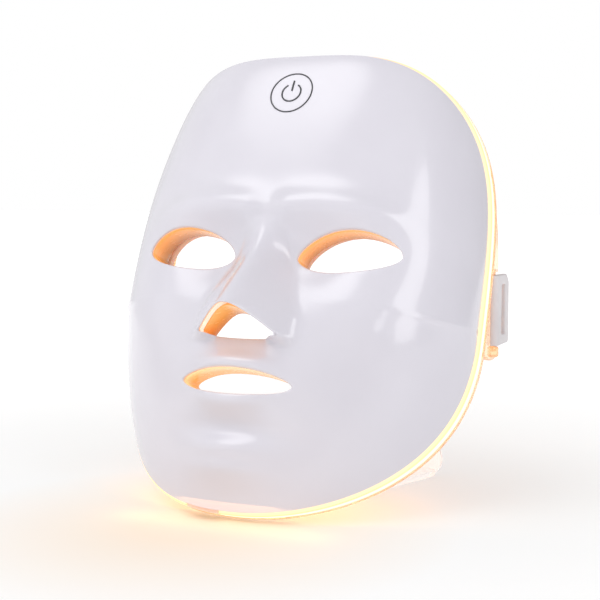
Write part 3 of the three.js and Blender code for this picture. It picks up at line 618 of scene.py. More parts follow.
def glow_guide():
    """The lit light guide: pale yellow core, orange along its edges."""
    material, tree, p = shader("glow_guide", Roughness=0.3, IOR=1.49, Emission_Strength=1.0)
    edge = attribute(tree, "edge")
    light = ramp(tree, edge, (0.0, (1.0, 0.93, 0.72)), (0.45, (1.0, 0.76, 0.4)), (1.0, (0.9, 0.3, 0.08)))
    base = ramp(tree, edge, (0.0, (0.36, 0.31, 0.2)), (1.0, (0.4, 0.14, 0.05)))
    wire(tree, p, Emission_Color=light, Base_Color=base)
    raise_surface(tree, p, noise(tree, 400, 2), 0.00002, 0.4)
    return material


def moulded(name, low, high, roughness, grain, height, **extra):
    """A satin moulded plastic with a fine grain."""
    material, tree, p = shader(name, IOR=1.48, **extra)
    worn = spread(tree, noise(tree, 150, 5, 0.6), roughness - 0.07, roughness + 0.08)
    wire(tree, p, Base_Color=mottled(tree, 40, 4, low, high), Roughness=worn)
    raise_surface(tree, p, noise(tree, grain, 2), height, 0.5)
    return material


def metal(name, low, high, roughness, stretch=(1, 1, 12)):
    """Metal with drawing marks along one direction."""
    material, tree, p = shader(name, Metallic=1.0)
    mapping = node(tree, "Mapping", Scale=stretch)
    wire(tree, mapping, Vector=coordinates(tree))
    marks = noise(tree, 700, 4, 0.6, mapping.outputs["Vector"])
    wire(tree, p, Base_Color=ramp(tree, marks, (0.3, low), (0.7, high)),
         Roughness=spread(tree, marks, roughness - 0.1, roughness + 0.1))
    raise_surface(tree, p, marks, 0.00001, 0.5)
    return material


def board_surface(name, base, trace, roughness):
    """A circuit board: solder mask with faint tracks under it."""
    material, tree, p = shader(name, Roughness=roughness, Coat_Weight=0.2, Coat_Roughness=0.2)
    wave = node(tree, "TexWave", Scale=160, Distortion=3.0, Detail=1.0, Detail_Scale=0.4)
    wire(tree, wave, Vector=coordinates(tree))
    tracks = wave.outputs["Fac"]
    wire(tree, p, Base_Color=ramp(tree, tracks, (0.72, base), (0.8, trace)))
    raise_surface(tree, p, tracks, 0.00003, 0.4)
    return material


def ribbon_amber():
    """Amber polyimide with copper tracks running along it."""
    material, tree, p = shader("ribbon_amber", Roughness=0.3, Coat_Weight=0.6, Coat_Roughness=0.1)
    wave = node(tree, "Math")
    wave.operation = "PINGPONG"
    wave.inputs[1].default_value = 0.06
    tree.links.new(attribute(tree, "across"), wave.inputs[0])
    tracks = spread(tree, wave.outputs[0], 0, 16)
    wire(tree, p, Base_Color=ramp(tree, tracks, (0.35, (0.42, 0.19, 0.05)), (0.55, (0.72, 0.36, 0.1))))
    raise_surface(tree, p, tracks, 0.00002, 0.5)
    return material


def lamp_glow():
    material, tree, p = shader("lamp_glow", Roughness=0.15, Emission_Strength=5.0)
    colour = mottled(tree, 900, 2, (1.0, 0.5, 0.14), (1.0, 0.66, 0.26))
    wire(tree, p, Emission_Color=colour, Base_Color=colour)
    return material


def studio_floor():
    """Pale paper with painted light: it glows more brightly further from the mask, and a painted pool of
    the rim's orange light lies on it before the chin.
    """
    material, tree, p = shader("studio_floor", Roughness=0.7)
    # painted light: the floor's own glow grows with distance from the mask
    far = spread(tree, measured(tree, coordinates(tree), "LENGTH"), 0.4, 0.65, 0.12, 0.7)
    # painted pool of the rim's orange light on the floor before the chin
    from_chin = measured(tree, coordinates(tree), "DISTANCE", (-0.01, -0.075, 0.0))
    warm = ramp(tree, from_chin, (0.02, (1.0, 0.68, 0.36)), (0.115, (1.0, 1.0, 1.0)))
    wire(tree, p, Base_Color=mottled(tree, 3, 3, (0.53, 0.53, 0.53), (0.55, 0.55, 0.55)),
         Emission_Strength=far, Emission_Color=warm)
    return material


# name: darker and lighter colour, roughness, grain scale, grain height
MOULDED = {
    "buckle_plastic": ((0.62, 0.585, 0.6), (0.7, 0.665, 0.68), 0.42, 2600, 0.00003),
    "port_plastic": ((0.9, 0.74, 0.66), (0.95, 0.82, 0.75), 0.4, 2200, 0.00002),
    "lamp_body": ((0.86, 0.84, 0.8), (0.94, 0.93, 0.9), 0.35, 3000, 0.00001),
    "chip_black": ((0.02, 0.02, 0.022), (0.045, 0.045, 0.05), 0.5, 3500, 0.00002),
    "mark_grey": ((0.035, 0.035, 0.04), (0.06, 0.06, 0.07), 0.4, 4000, 0.00001),
}
# name: base colour, track colour, roughness
BOARD_SURFACES = {
    "sensor_film": ((0.55, 0.26, 0.08), (0.72, 0.4, 0.16), 0.3),
    "board_white": ((0.85, 0.83, 0.79), (0.72, 0.68, 0.6), 0.45),
    "board_green": ((0.015, 0.13, 0.06), (0.04, 0.24, 0.11), 0.35),
}
# name: darker and lighter colour, roughness, stretch of the drawing marks
METALS = {
    "screw_steel": ((0.4, 0.41, 0.43), (0.62, 0.63, 0.65), 0.32, (1, 1, 12)),
    "socket_metal": ((0.55, 0.56, 0.58), (0.75, 0.76, 0.78), 0.28, (12, 1, 1)),
    "cell_foil": ((0.5, 0.52, 0.55), (0.68, 0.7, 0.73), 0.38, (1, 1, 1)),
}
M = {
    "shell_white": shell_white(),
    # painted lamp light: the clear plastics are tinted warm and glow of their own
    "clear_plastic": clear_plastic("clear_plastic", 0.1, (1.0, 0.84, 0.7), (1.0, 0.91, 0.83)),
    # painted light: the foot's pale pink tint and glow keep it from going dark in the shade under the mask
    "clear_foot": clear_plastic("clear_foot", 0.13, (0.98, 0.93, 0.9), (0.98, 0.96, 0.94),
                                (1.0, 0.8, 0.72)),
    "clear_lit": clear_plastic("clear_lit", 0.12, (1.0, 0.76, 0.55), (1.0, 0.84, 0.68)),
    "collar_glow": collar_glow(),
    "glow_guide": glow_guide(),
    "silicone": moulded("silicone", (0.86, 0.6, 0.47), (0.93, 0.72, 0.6), 0.55, 1800, 0.00003,
                        Subsurface_Weight=0.3, Subsurface_Scale=0.004),
    "ribbon_amber": ribbon_amber(),
    "lamp_glow": lamp_glow(),
}
for maker, table in ((moulded, MOULDED), (board_surface, BOARD_SURFACES), (metal, METALS)):
    for name, look in table.items():
        M[name] = maker(name, *look)


# ---- the front shell ----
STEEPNESS = 0.42  # how much the flat drawing of a shell is widened where the rim turns back
S_TABLE = np.sin(np.linspace(0, math.pi / 2, 600))
T_TABLE = S_TABLE + STEEPNESS * (1 - np.sqrt(1 - S_TABLE**6))


def reach_of(angle, grow):
    """Distance from the pole to the outline in a direction."""
    phi = np.linspace(-math.pi, math.pi, 4001)
    edge = outline(phi, grow) - POLE
    turn = np.unwrap(np.arctan2(edge[:, 1], edge[:, 0]))
    return np.interp(np.mod(angle - turn[0], 2 * math.pi), turn - turn[0], np.linalg.norm(edge, axis=1))


def widen(p, grow=0.0):
    """A point of the face to the flat drawing, which has more room near the rim."""
    d = np.asarray(p, float) - POLE
    far = np.linalg.norm(d, axis=1)
    s = np.clip(far / reach_of(np.arctan2(d[:, 1], d[:, 0]), grow), 1e-6, 1)
    return d * (np.interp(s, S_TABLE, T_TABLE) / s)[:, None]


def narrow(p, grow=0.0):
    """The flat drawing back to a point of the face."""
    far = np.linalg.norm(p, axis=1)
    t = np.maximum(far / reach_of(np.arctan2(p[:, 1], p[:, 0]), grow), 1e-6)
    s = np.minimum(np.interp(t, T_TABLE, S_TABLE), 1.0)
    return POLE + p * (s / t)[:, None]


def shell_lift(surface, grow):
    """Lifts the flat drawing to a surface; the wall runs straight back, and square to the rim near it."""
    def lift(flat, w):
        x, z = narrow(flat, grow).T
        n = wrap_normal(x, z, grow)
        square = smooth((wrap(x, z, grow)[1] - 0.75) / 0.2)[:, None]
        straight = at(0.0, -1 / n[:, 1], 0.0)
        return at(x, surface(x, z), z) + (straight * (1 - square) - n * square) * w[:, None]
    return lift


def rim_loop(grow, count=520):
    return widen(outline(turns(count), grow), grow)


def front_shell():
    return plate(rim_loop(0.0), [widen(h) for h in openings()], shell_lift(front_surface, 0.0), WALL, 1.9,
                 bevel=0.75, rounds=4, back_bevel=0.4, fine=(-34, 34, -62, 45, 1.15))


def seat(x, z):
    """At a screw: the inner shell's least and greatest depth, and where its boss starts."""
    a = turns(12)
    px, pz = x + SCREW_PAD * np.cos(a), z + SCREW_PAD * np.sin(a)
    depth = inner_surface(px, pz)
    return depth.min(), depth.max(), front_surface(px, pz).max() + 0.3


def bosses():
    """The front shell's round posts that the screws go into."""
    parts = []
    outer, bore, soft = 2.8, 1.3, 0.3
    for x, z in SCREWS:
        low, _, start = seat(x, z)
        end = low - 0.7
        profile = [(bore, start), (outer, start), (outer, end - soft), (outer - soft, end),
                   (bore + soft, end), (bore, end - soft), (bore, start + 1.0)]
        parts.append(loft(circles(x, z, profile, 36), capped=False))
    return merge(*parts)


skin = front_shell()
half_count = len(skin[0]) // 2
# the back half of the skin carries the painted orange lamp glow
build("front_shell_skin", skin, "shell_white", nodes=["front_shell"],
      values={"lit": np.repeat([0.0, 1.0], half_count)})
build("screw_bosses", bosses(), "shell_white", sharp=40)


# ---- the inner shell ----
def rings_round(profile, curve, depth):
    """Rings for a band round a curve; profile is (grow, depth behind a surface) pairs."""
    rings = []
    for grow, behind in profile:
        x, z = curve(grow).T
        rings.append(at(x, depth(x, z) + behind, z))
    return np.stack(rings, 1)


def around_rim(phi, profile):
    """A band round the mask; its depths count from the back of the front shell."""
    back = rim_back(phi)
    return rings_round(profile, lambda grow: outline(phi, grow), lambda x, z: back)


def inner_bowl():
    holes = [widen(h, -INNER_SHRINK) for h in openings(0.3)]
    lift = shell_lift(inner_surface, -INNER_SHRINK)
    return plate(rim_loop(-INNER_SHRINK, 420), holes, lift, INNER_WALL, 2.3,
                 bevel=0.3, rounds=2, fine=(-32, 32, -60, 45, 1.6))


def flange():
    lo, hi = FLANGE_FRONT, FLANGE_BACK
    profile = [(-9.6, lo + 0.5), (-9.2, lo), (1.2, lo), (1.55, lo + 0.2), (1.7, lo + 0.6),
               (1.7, hi - 0.6), (1.55, hi - 0.2), (1.2, hi), (-9.2, hi), (-9.6, hi - 0.5)]
    return loft(around_rim(turns(420), profile), closed=True)


def collar(outline_at, front):
    """A glowing wall round an opening, from behind the front shell to the inner shell.
    Gives the part, and how far back each of its points is."""
    back = [(COLLAR, 0.0, t) for t in np.linspace(0, 1, 7)[1:]]
    profile = [(0.0, 0.0, 0), (0.35, -0.35, 0), (0.95, -0.35, 0), (COLLAR, 0.0, 0), *back]
    profile += [(0.0, 0.0, t) for t in np.linspace(0, 1, 7)[:0:-1]]
    rings, along = [], []
    for grow, shift, t in profile:
        x, z = outline_at(grow).T
        y = front(x, z) + shift + (inner_surface(x, z) + INNER_WALL - 0.1 - front(x, z)) * t
        rings.append(at(x, y, z))
        along.append(np.full(len(x), t))
    return loft(np.stack(rings, 1), closed=True), np.stack(along, 1).reshape(-1)


def behind_front(x, z):
    return front_surface(x, z) + WALL + 0.55


def behind_nose(x, z):
    return front_surface(x, z + np.where(z > -44, 1.5, 0)) + WALL + 3.5


# each collar's outline, where it starts, and where its painted glow colour starts and ends on the way back
COLLARS = {
    "collar_eye_left": (lambda g: eye_outline(1, g), behind_front, 0.16, 0.9),
    "collar_eye_right": (lambda g: eye_outline(-1, g), behind_front, 0.22, 1.0),
    "collar_mouth": (mouth_outline, behind_front, 0.0, 0.3),
    "collar_nose": (nose_outline, behind_nose, 0.18, 0.8),
}
build("inner_shell_bowl", inner_bowl(), "clear_plastic", nodes=["inner_shell"])
build("inner_shell_flange", flange(), "clear_lit", sharp=50)
for name, (outline_at, front, near, far) in COLLARS.items():
    part, along = collar(outline_at, front)
    build(name, part, "collar_glow", sharp=60,
          values={"along": near + (far - near) * along})


def side_x(z):
    """Half width of the shell at a height, the rim's weight there, and whether z is above the middle."""
    up = z >= CENTRE_Z
    power = np.where(up, TOP_POWER, BOTTOM_POWER)
    b = np.abs((z - CENTRE_Z) / np.where(up, TOP_RADIUS, BOTTOM_RADIUS)) ** power
    return HALF_WIDTH * (1 - b) ** (1 / power), b, up


def wing():
    """The clear lug round the strap bar's window, growing out of the flange."""
    z = np.linspace(WING_TOP, LUG_BOTTOM, 150)
    _, b, up = side_x(z)
    front = rim_depth(b, up) + FLANGE_FRONT + 0.5
    slope = WING_REACH / (WING_TOP - BAR[2] - WINDOW_HALF)
    end = np.clip((z - LUG_BOTTOM) / 6, 0, 1)
    low = front + (BAR[1] - (z - BAR[2]) * math.tan(LEAN) + 4.6 - front) * np.sqrt(1 - (1 - end) ** 2)
    rear = np.where(z > BAR[2], front + 1.5 + slope * (WING_TOP - z), low)
    # the rear edge is broken by the window, which is upright and open to the rear
    along = (z - BAR[2]) * LEAN_COS - (rear - BAR[1]) * LEAN_SIN
    edge = np.stack([rear, z], -1)
    h = WINDOW_HALF
    corners = [(4.2, -h), (-2.6, -h), (-3.6, -h + 0.4), (-3.95, -h + 1.4),
               (-3.95, h - 1.4), (-3.6, h - 0.4), (-2.6, h)]
    window = straightened([(0, y, rise) for y, rise in corners])[:, 1:] + BAR[1:]
    rim = np.concatenate([np.stack([front, z], -1), edge[along < -h - 0.1][::-1], window,
                          edge[along > h + 0.1][::-1]])

    def lift(flat, w):
        y, zz = flat.T
        return at(side_x(zz)[0] + 0.2 - w, y, zz)

    return plate(rim, [], lift, 2.2, 1.6, bevel=0.45, rounds=3)


def turned_post(radius, low, high, soft):
    """A round post along the bar's axis with softened ends."""
    ends = np.array([0, 0.35, 1.0])
    middle = np.linspace(low + soft, high - soft, 12)[1:-1]
    heights = np.concatenate([low + soft * ends, middle, high - soft * ends[::-1]])
    inward = np.concatenate([[soft * 0.9, soft * 0.3, 0], np.zeros(10), [0, soft * 0.3, soft * 0.9]])
    a = turns(36)
    rings = [at((radius - d) * np.cos(a), (radius - d) * np.sin(a), h) for d, h in zip(inward, heights)]
    return loft(rings)


def strap_bar():
    post = turned_post(BAR_RADIUS, -BAR_HALF, BAR_HALF, 0.5)
    boss = turned_post(BOSS_RADIUS, -BAR_HALF - 2.6, -WINDOW_HALF - 0.05, 0.9)
    return on_bar(merge(post, boss))


def screw_pads():
    """The inner shell's round pads under the screw heads."""
    parts = []
    bore, outer = 1.5, SCREW_PAD
    for x, z in SCREWS:
        low, high, _ = seat(x, z)
        profile = [(bore, low - 0.3), (outer, low - 0.3), (outer, high + 1.9), (outer - 0.3, high + 2.2),
                   (bore + 0.3, high + 2.2), (bore, high + 1.9)]
        parts.append(loft(circles(x, z, profile + profile[:1], 36), capped=False))
    return merge(*parts)


lug = merge(wing(), strap_bar())
build_sides("lug_left", lug, "clear_lit", sharp=50)
build("screw_pads", screw_pads(), "clear_plastic", sharp=40)


# ---- the glowing rim and the port ----
def rim_speed(phi):
    """How far the rim runs for each radian."""
    d = 0.01
    a, b = outline(np.array([phi - d, phi + d]), RIM_OUT)
    return np.linalg.norm(b - a) / (2 * d)


PORT_SPEED = rim_speed(PORT_PHI)
PORT_TURN = 9.0 / PORT_SPEED


def guide_ring():
    """The light guide, with a gap for the port; edge is 1 along its outer corners."""
    lo, hi = RIM_GAP, RIM_GAP + RIM_DEPTH
    profile = [(-3.4, lo), (0.7, lo), (1.1, lo + 0.2), (1.3, lo + 0.6), (1.3, lo + 1.3),
               (1.3, hi - 1.3), (1.3, hi - 0.6), (1.1, hi - 0.2), (0.7, hi), (-3.4, hi)]
    edge = [0, 0.35, 0.6, 0.35, 0, 0, 0.3, 0.8, 1, 0.2]
    phi = np.linspace(PORT_PHI + PORT_TURN, PORT_PHI + 2 * math.pi - PORT_TURN, 640)
    return loft(around_rim(phi, profile)), np.tile(edge, len(phi))


guide, guide_edge = guide_ring()
build("glow_rim_guide", guide, "glow_guide", nodes=["glow_rim"],
      values={"edge": guide_edge}, sharp=50)


def port_point(u, v, w):
    """The port's own frame: u along the rim, v along the depth, w outwards."""
    phi = PORT_PHI + u / PORT_SPEED
    edge = outline(phi, RIM_OUT)
    out = edge - outline(phi, RIM_OUT - 1)
    out /= np.linalg.norm(out, axis=-1, keepdims=True)
    p = edge + out * w[..., None]
    return at(p[..., 0], rim_back(phi) + RIM_GAP + RIM_DEPTH / 2 + v, p[..., 1])


def port_piece(outer, holes, top, depth, step, bevel, rounds=2):
    """A plate facing out of the port; outer and holes are rounded rectangles."""
    return plate(rounded(*outer), [rounded(*hole) for hole in holes],
                 lambda flat, w: port_point(flat[:, 0], flat[:, 1], top - w), depth, step, bevel, rounds)


bezel = port_piece((8.55, 2.5, 0.5), [(4.9, 1.75, 1.7, 8)], 0.0, 6.0, 0.9, 0.3, 3)
build("port_bezel_body", bezel, "port_plastic", nodes=["port_bezel"], sharp=50)
# the socket's shell, its floor and its tongue
socket = merge(
    port_piece((4.6, 1.5, 1.45, 8), [(4.3, 1.2, 1.15, 8)], -1.0, 7.0, 0.7, 0.08),
    port_piece((4.3, 1.2, 1.15, 8), [], -7.2, 0.7, 0.9, 0.1),
    port_piece((3.3, 0.35, 0.3, 4), [], -2.2, 5.2, 0.8, 0.1),
)
build("charging_socket_shell", socket, "socket_metal", nodes=["charging_socket"], sharp=40)


# ---- the light boards ----
LAMP_LENS = [(1.05, 1.82), (1.0, 1.98), (0.75, 2.08), (0.4, 2.13), (0.05, 2.15)]


def lamp(x, z, y):
    """A lamp package: a bevelled square body with a domed lens over it.
    Gives points, faces and a paint index for each face: 1 body, 2 lens."""
    body = plate(rounded(1.4, 1.4, 0.25, 2), [], lambda f, w: at(x + f[:, 0], y + 1.85 - w, z + f[:, 1]),
                 1.5, 3.0, bevel=0.15, rounds=1)
    lens = loft(circles(x, z, [(r, y + d) for r, d in LAMP_LENS], 14))
    return *merge(body, lens), [1] * len(body[1]) + [2] * len(lens[1])


def light_board(x0, x1, z0, z1, columns, rows):
    """A bent plate with rows of lamps on the wearer's side. Gives points, faces and paint."""
    cx, cz, w, h = (x0 + x1) / 2, (z0 + z1) / 2, (x1 - x0) / 2, (z1 - z0) / 2
    skin = plate(rounded(w, h, min(2.5, 0.45 * min(w, h))) + [cx, cz], [],
                 facing(lambda x, z, w: between(x, z, 0.5) + w), 0.8, 1.5, bevel=0.12, rounds=2)
    parts = [skin]
    paint = [0] * len(skin[1])
    for i in range(columns):
        for j in range(rows):
            x = x0 + (x1 - x0) * (i + 0.5) / columns
            z = z0 + (z1 - z0) * (j + 0.5) / rows
            *part, looks = lamp(x, z, float(between(np.array([x]), np.array([z]), 0.5)[0]))
            parts.append(part)
            paint += looks
    return *merge(*parts), paint


# left, right, bottom, top, columns and rows of lamps
BOARDS = {
    "forehead": (-46, 46, 28, 59, 5, 3),
    "nose": (-6.5, 6.5, -20, 16, 1, 3),
    "lip": (-16, 16, -56.4, -48.6, 3, 1),
    "chin": (-24, 24, -92, -75, 4, 2),
    "cheek_left": (27, 62, -51, -17, 3, 3),
    "jaw_left": (32, 58, -84, -62, 2, 2),
}
BOARD_LOOKS = ["board_white", "lamp_body", "lamp_glow"]
for name, size in BOARDS.items():
    make = build_sides if "left" in name else build
    *part, paint = light_board(*size)
    make(f"board_{name}", part, BOARD_LOOKS, nodes=[f"light_board_{name}"], paint=paint, sharp=40)


def curve_through(points, count):
    """A smooth line through points, Catmull-Rom."""
    p = np.array([points[0], *points, points[-1]], float)
    p[0], p[-1] = 2 * p[1] - p[2], 2 * p[-2] - p[-3]
    out = []
    for t in np.linspace(0, len(points) - 1 - 1e-9, count):
        i, f = int(t), t - int(t)
        a, b, c, d = p[i:i + 4]
        bend = (2 * a - 5 * b + 4 * c - d) * f**2 + (3 * b - a - 3 * c + d) * f**3
        out.append(0.5 * (2 * b + (c - a) * f + bend))
    return np.array(out)


def ribbon(path, half=2.0):
    """A flat conductor along a path. Gives the part, and how far across it each point is."""
    line = curve_through(path, 60)
    step = np.gradient(line, axis=0)
    step /= np.linalg.norm(step, axis=1, keepdims=True)
    side = np.stack([-step[:, 1], step[:, 0]], -1)
    across = np.linspace(-1, 1, 13)
    x, z = np.moveaxis(line[:, None] + side[:, None] * (across * half)[None, :, None], -1, 0)
    front = at(x, between(x, z, 0.5) - 1.05, z)
    ring = np.concatenate([front, (front + [0, 0.3, 0])[:, ::-1]], 1)
    share = np.concatenate([across, across[::-1]]) * 0.5 + 0.5
    return loft(ring), np.tile(share, len(line))


RIBBONS = {
    "ribbon_side_left": [(44, 34), (60, 26), (71, 4), (71, -16), (60, -24)],
    "ribbon_jaw_left": [(56, -48), (57.5, -55), (56, -64)],
    "ribbon_nose": [(0, 32), (0, 22), (0, 12)],
    "ribbon_chin": [(34, -78), (26, -82), (20, -84)],
}
for name, path in RIBBONS.items():
    make = build_sides if "left" in name else build
    part, across = ribbon(path)
    make(f"{name}_strip", part, "ribbon_amber", nodes=[name],
         values={"across": across}, sharp=50)


# ---- battery, sensor, control board ----
def node_box(name):
    """A CAD node's box in the upright mask's frame, mm: (low, high)."""
    p = np.array([v.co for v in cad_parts[name].data.vertices]) / MM - [0, SHIFT_Y, SHIFT_Z]
    q = straightened(p)
    return q.min(0), q.max(0)


def slab(lo, hi, corner, bevel, rounds=3, crown=0.0):
    """A rounded block in a box, its flat faces along the depth; crown swells its faces."""
    lo, hi = np.array(lo, float), np.array(hi, float)
    centre, half = (lo + hi) / 2, (hi - lo) / 2

    def depth(x, z, w):
        fall = crown * (np.abs(x / half[0]) ** 4 + np.abs(z / half[2]) ** 4)
        return lo[1] + w + fall * (1 - 2 * w / (hi[1] - lo[1]))

    def lift(flat, w):
        return facing(depth)(flat, w) + [centre[0], 0, centre[2]]

    return plate(rounded(half[0], half[2], corner), [], lift, hi[1] - lo[1], 2.0, bevel, rounds)


lo, hi = node_box("battery")
middle, margin = (lo[1] + hi[1]) / 2, np.array([0.9, 0, 1.6])
pouch = slab(lo + margin, hi - margin, 2.0, 1.0, crown=0.3)
seam = slab((lo[0], middle - 0.15, lo[2]), (hi[0], middle + 0.15, hi[2]), 1.0, 0.1)
build("battery_pouch", merge(pouch, seam), "cell_foil", nodes=["battery"], sharp=50)
foam = slab(*node_box("battery_pad"), 1.0, 0.3)
build("battery_foam", foam, "silicone", nodes=["battery_pad"])

sensor = plate(rounded(9, 9, 2) + [0, 74], [rounded(1.2, 1.2, 1.1) + [0, 67.5]],
               facing(lambda x, z, w: between(x, z, 0.06) + w), 0.45, 1.5, bevel=0.1)
build("touch_sensor_film", sensor, "sensor_film", nodes=["touch_sensor"], sharp=50)


def on_board(x0, x1, z0, z1, height, corner, bevel, rounds=3):
    """A block that stands on the front of the control board."""
    return slab((x0, BOARD_FRONT - height, z0), (x1, BOARD_FRONT + 0.1, z1), corner, bevel, rounds)


lo, hi = node_box("control_board")
BOARD_FRONT = hi[1] - 1.0
card = slab((lo[0], BOARD_FRONT, lo[2]), hi, 1.2, 0.12)
chips = [on_board(-3.5, 3.5, -106, -99, BOARD_FRONT - lo[1], 0.3, 0.15),
         on_board(6, 12, -104, -100, BOARD_FRONT - lo[1] - 0.2, 0.3, 0.15)]
metals = [on_board(x, x + 1.0, z, z + 0.55, 0.45, 0.1, 0.06, 1)
          for x in (-12.5, -10.5, -8.5, -6.5) for z in (-106, -103.4, -100.6)]
metals += [on_board(x, x + 0.9, z, z + 0.35, 0.25, 0.05, 0.05, 1)
           for x in (-4.3, 3.4) for z in np.arange(-105.6, -99.6, 0.85)]
paint = [k for k, group in enumerate(([card], chips, metals)) for piece in group for _ in piece[1]]
build("control_board_card", merge(card, *chips, *metals), ["board_green", "chip_black", "screw_steel"],
      nodes=["control_board"], paint=paint, sharp=40)


# ---- touch mark, eye guards, screws ----
def mark_ring(inner, outer, start=0.0, sweep=2 * math.pi, count=120):
    """A printed ring or arc on the forehead, its edges softened."""
    closed = sweep >= 2 * math.pi - 1e-6
    a = start + sweep * np.arange(count) / (count if closed else count - 1)
    mid, half = (inner + outer) / 2, (outer - inner) / 2
    section = [(-1, 0.25), (-1, -0.2), (-0.7, -0.28), (0, -0.3), (0.7, -0.28), (1, -0.2), (1, 0.25)]
    profile = [(mid + half * side, depth) for side, depth in section]

    def curve(r):
        return np.stack([r * np.cos(a), MARK_Z + r * np.sin(a)], -1)

    return loft(rings_round(profile, curve, front_surface), closed)


def mark_bar(half, low, high):
    return plate(rounded(half, (high - low) / 2, half * 0.9) + [0, MARK_Z + (low + high) / 2], [],
                 facing(lambda x, z, w: front_surface(x, z) - 0.3 + w), 0.55, 0.5, bevel=0.08, rounds=2)


MARKS = {
    "ring": mark_ring(9.95, 10.55),
    "arc": mark_ring(4.3, 5.0, math.pi * 0.68, math.pi * 1.64, 70),
    "bar": mark_bar(0.4, 0.8, 6.5),
}
for name, part in MARKS.items():
    build(f"touch_mark_{name}_print", part, "mark_grey", nodes=[f"touch_mark_{name}"])


def eye_guard():
    """A soft lip round the eye opening, towards the wearer."""
    profile = [(1.75, 1.7), (1.75, 4.6), (1.7, 5.9), (2.0, 6.7), (2.5, 7.0),
               (3.1, 6.95), (3.6, 6.6), (3.85, 5.9), (3.7, 5.1), (3.1, 4.4),
               (2.95, 3.6), (3.1, 2.6), (3.9, 1.95), (3.9, 1.6), (2.6, 1.55)]
    rings = rings_round(profile, lambda grow: eye_outline(1, grow, 170),
                        lambda x, z: inner_surface(x, z) + INNER_WALL)
    return loft(rings, closed=True)


build_sides("eye_guard_lip_left", eye_guard(), "silicone", nodes=["eye_guard_left"])


def screw(x, z, seat_y, length):
    """A pan-head screw along the depth, with a cross recess and a thread."""
    a = turns(48)
    top = seat_y + 1.8
    profile = []
    for r in (0.05, 0.25, 0.4, 0.55, 0.7, 0.85, 1.0, 1.15, 1.3, 1.45, 1.6, 1.9, 2.2):
        arm = np.minimum(np.abs(r * np.cos(a)), np.abs(r * np.sin(a)))
        deep = 0.95 * smooth((0.42 - arm) / 0.16) * smooth((1.5 - r) / 0.25)
        profile.append((r, top - 0.18 * (r / 2.2) ** 2 - deep))
    profile += [(2.5, top - 0.45), (2.65, top - 0.85), (2.68, seat_y + 0.35),
                (2.55, seat_y + 0.15), (1.1, seat_y + 0.12)]
    for t in np.linspace(0, 1, 44):
        thread = np.cos(a + 2 * math.pi * (length * t) / 0.7)
        taper = 1 - 0.55 * smooth((t - 0.9) / 0.1)
        profile.append((0.98 * taper + 0.1 * thread * taper, seat_y - length * t))
    return loft(circles(x, z, profile, 48))


def build_screw(name, x, z, seat_y, length):
    build(f"{name}_pan", screw(x, z, seat_y, length), "screw_steel", nodes=[name], sharp=50)


for i, (x, z) in enumerate(SCREWS, 1):
    low, high, _ = seat(x, z)
    build_screw(f"screw_{i}", x, z, high + 2.2, high + 2.2 - low + 5)
for i, turn in enumerate(FOOT_SCREW_TURNS, 1):
    phi = np.array([turn - math.pi / 2])
    x, z = outline(phi, -6.8)[0]
    behind_tab = rim_back(phi)[0] + FLANGE_BACK + GAP + TAB
    build_screw(f"foot_screw_{i}", x, z, behind_tab + 0.9, TAB + FLANGE + 5)


# ---- the clear foot ----
def quadratic(a, b, c, count=10):
    """A curve from a towards c that heads for b; c itself is left to the next piece."""
    t = np.linspace(0, 1, count, endpoint=False)[:, None]
    a, b, c = map(np.array, (a, b, c))
    return (1 - t) ** 2 * a + 2 * t * (1 - t) * b + t * t * c


def foot_outline():
    n, f, h, e = FOOT_NOSE, FOOT_FRONT, FOOT_HALF, FOOT_REAR
    right = np.concatenate([
        quadratic((0, f + 0.2), (n / 2, f + 0.2), (n, f + 1.6), 8),
        quadratic((n, f + 1.6), (n + 5, f + 3.5), (n + 7, f + 9)),
        [(n + 7, f + 9)],
        quadratic((h - 3, e - 8), (h - 0.5, e), (h - 9, e)),
        [(h - 9, e)],
    ])
    return np.concatenate([right, (right * [-1, 1])[:0:-1]])


foot_plate = plate(foot_outline(), [], lambda flat, w: at(flat[:, 0], flat[:, 1], FOOT_THICK - w),
                   FOOT_THICK, 4.0, bevel=0.9, rounds=4)
foot_lip = plate(rounded(FOOT_HALF, LIP_HEIGHT / 2, 7, 8) + [0, LIP_HEIGHT / 2], [],
                 facing(lambda x, z, w: FOOT_REAR - w), LIP_THICK, 3.0, bevel=0.8, rounds=4)
build("foot_plate", merge(foot_plate, foot_lip), "clear_foot", nodes=["chin_foot"],
      place=standing, sharp=60)


def foot_tab():
    span = 25 / HALF_WIDTH
    lo, hi = FLANGE_BACK + GAP, FLANGE_BACK + GAP + TAB
    profile = [(-11.6, lo), (0.9, lo), (1.3, lo + 0.4), (1.3, hi - 0.4),
               (0.9, hi), (-11.6, hi), (-12, hi - 0.4), (-12, lo + 0.4)]
    phi = np.linspace(-math.pi / 2 - span, -math.pi / 2 + span, 60)
    return loft(around_rim(phi, profile))


build("foot_tab", foot_tab(), "clear_foot", sharp=50)


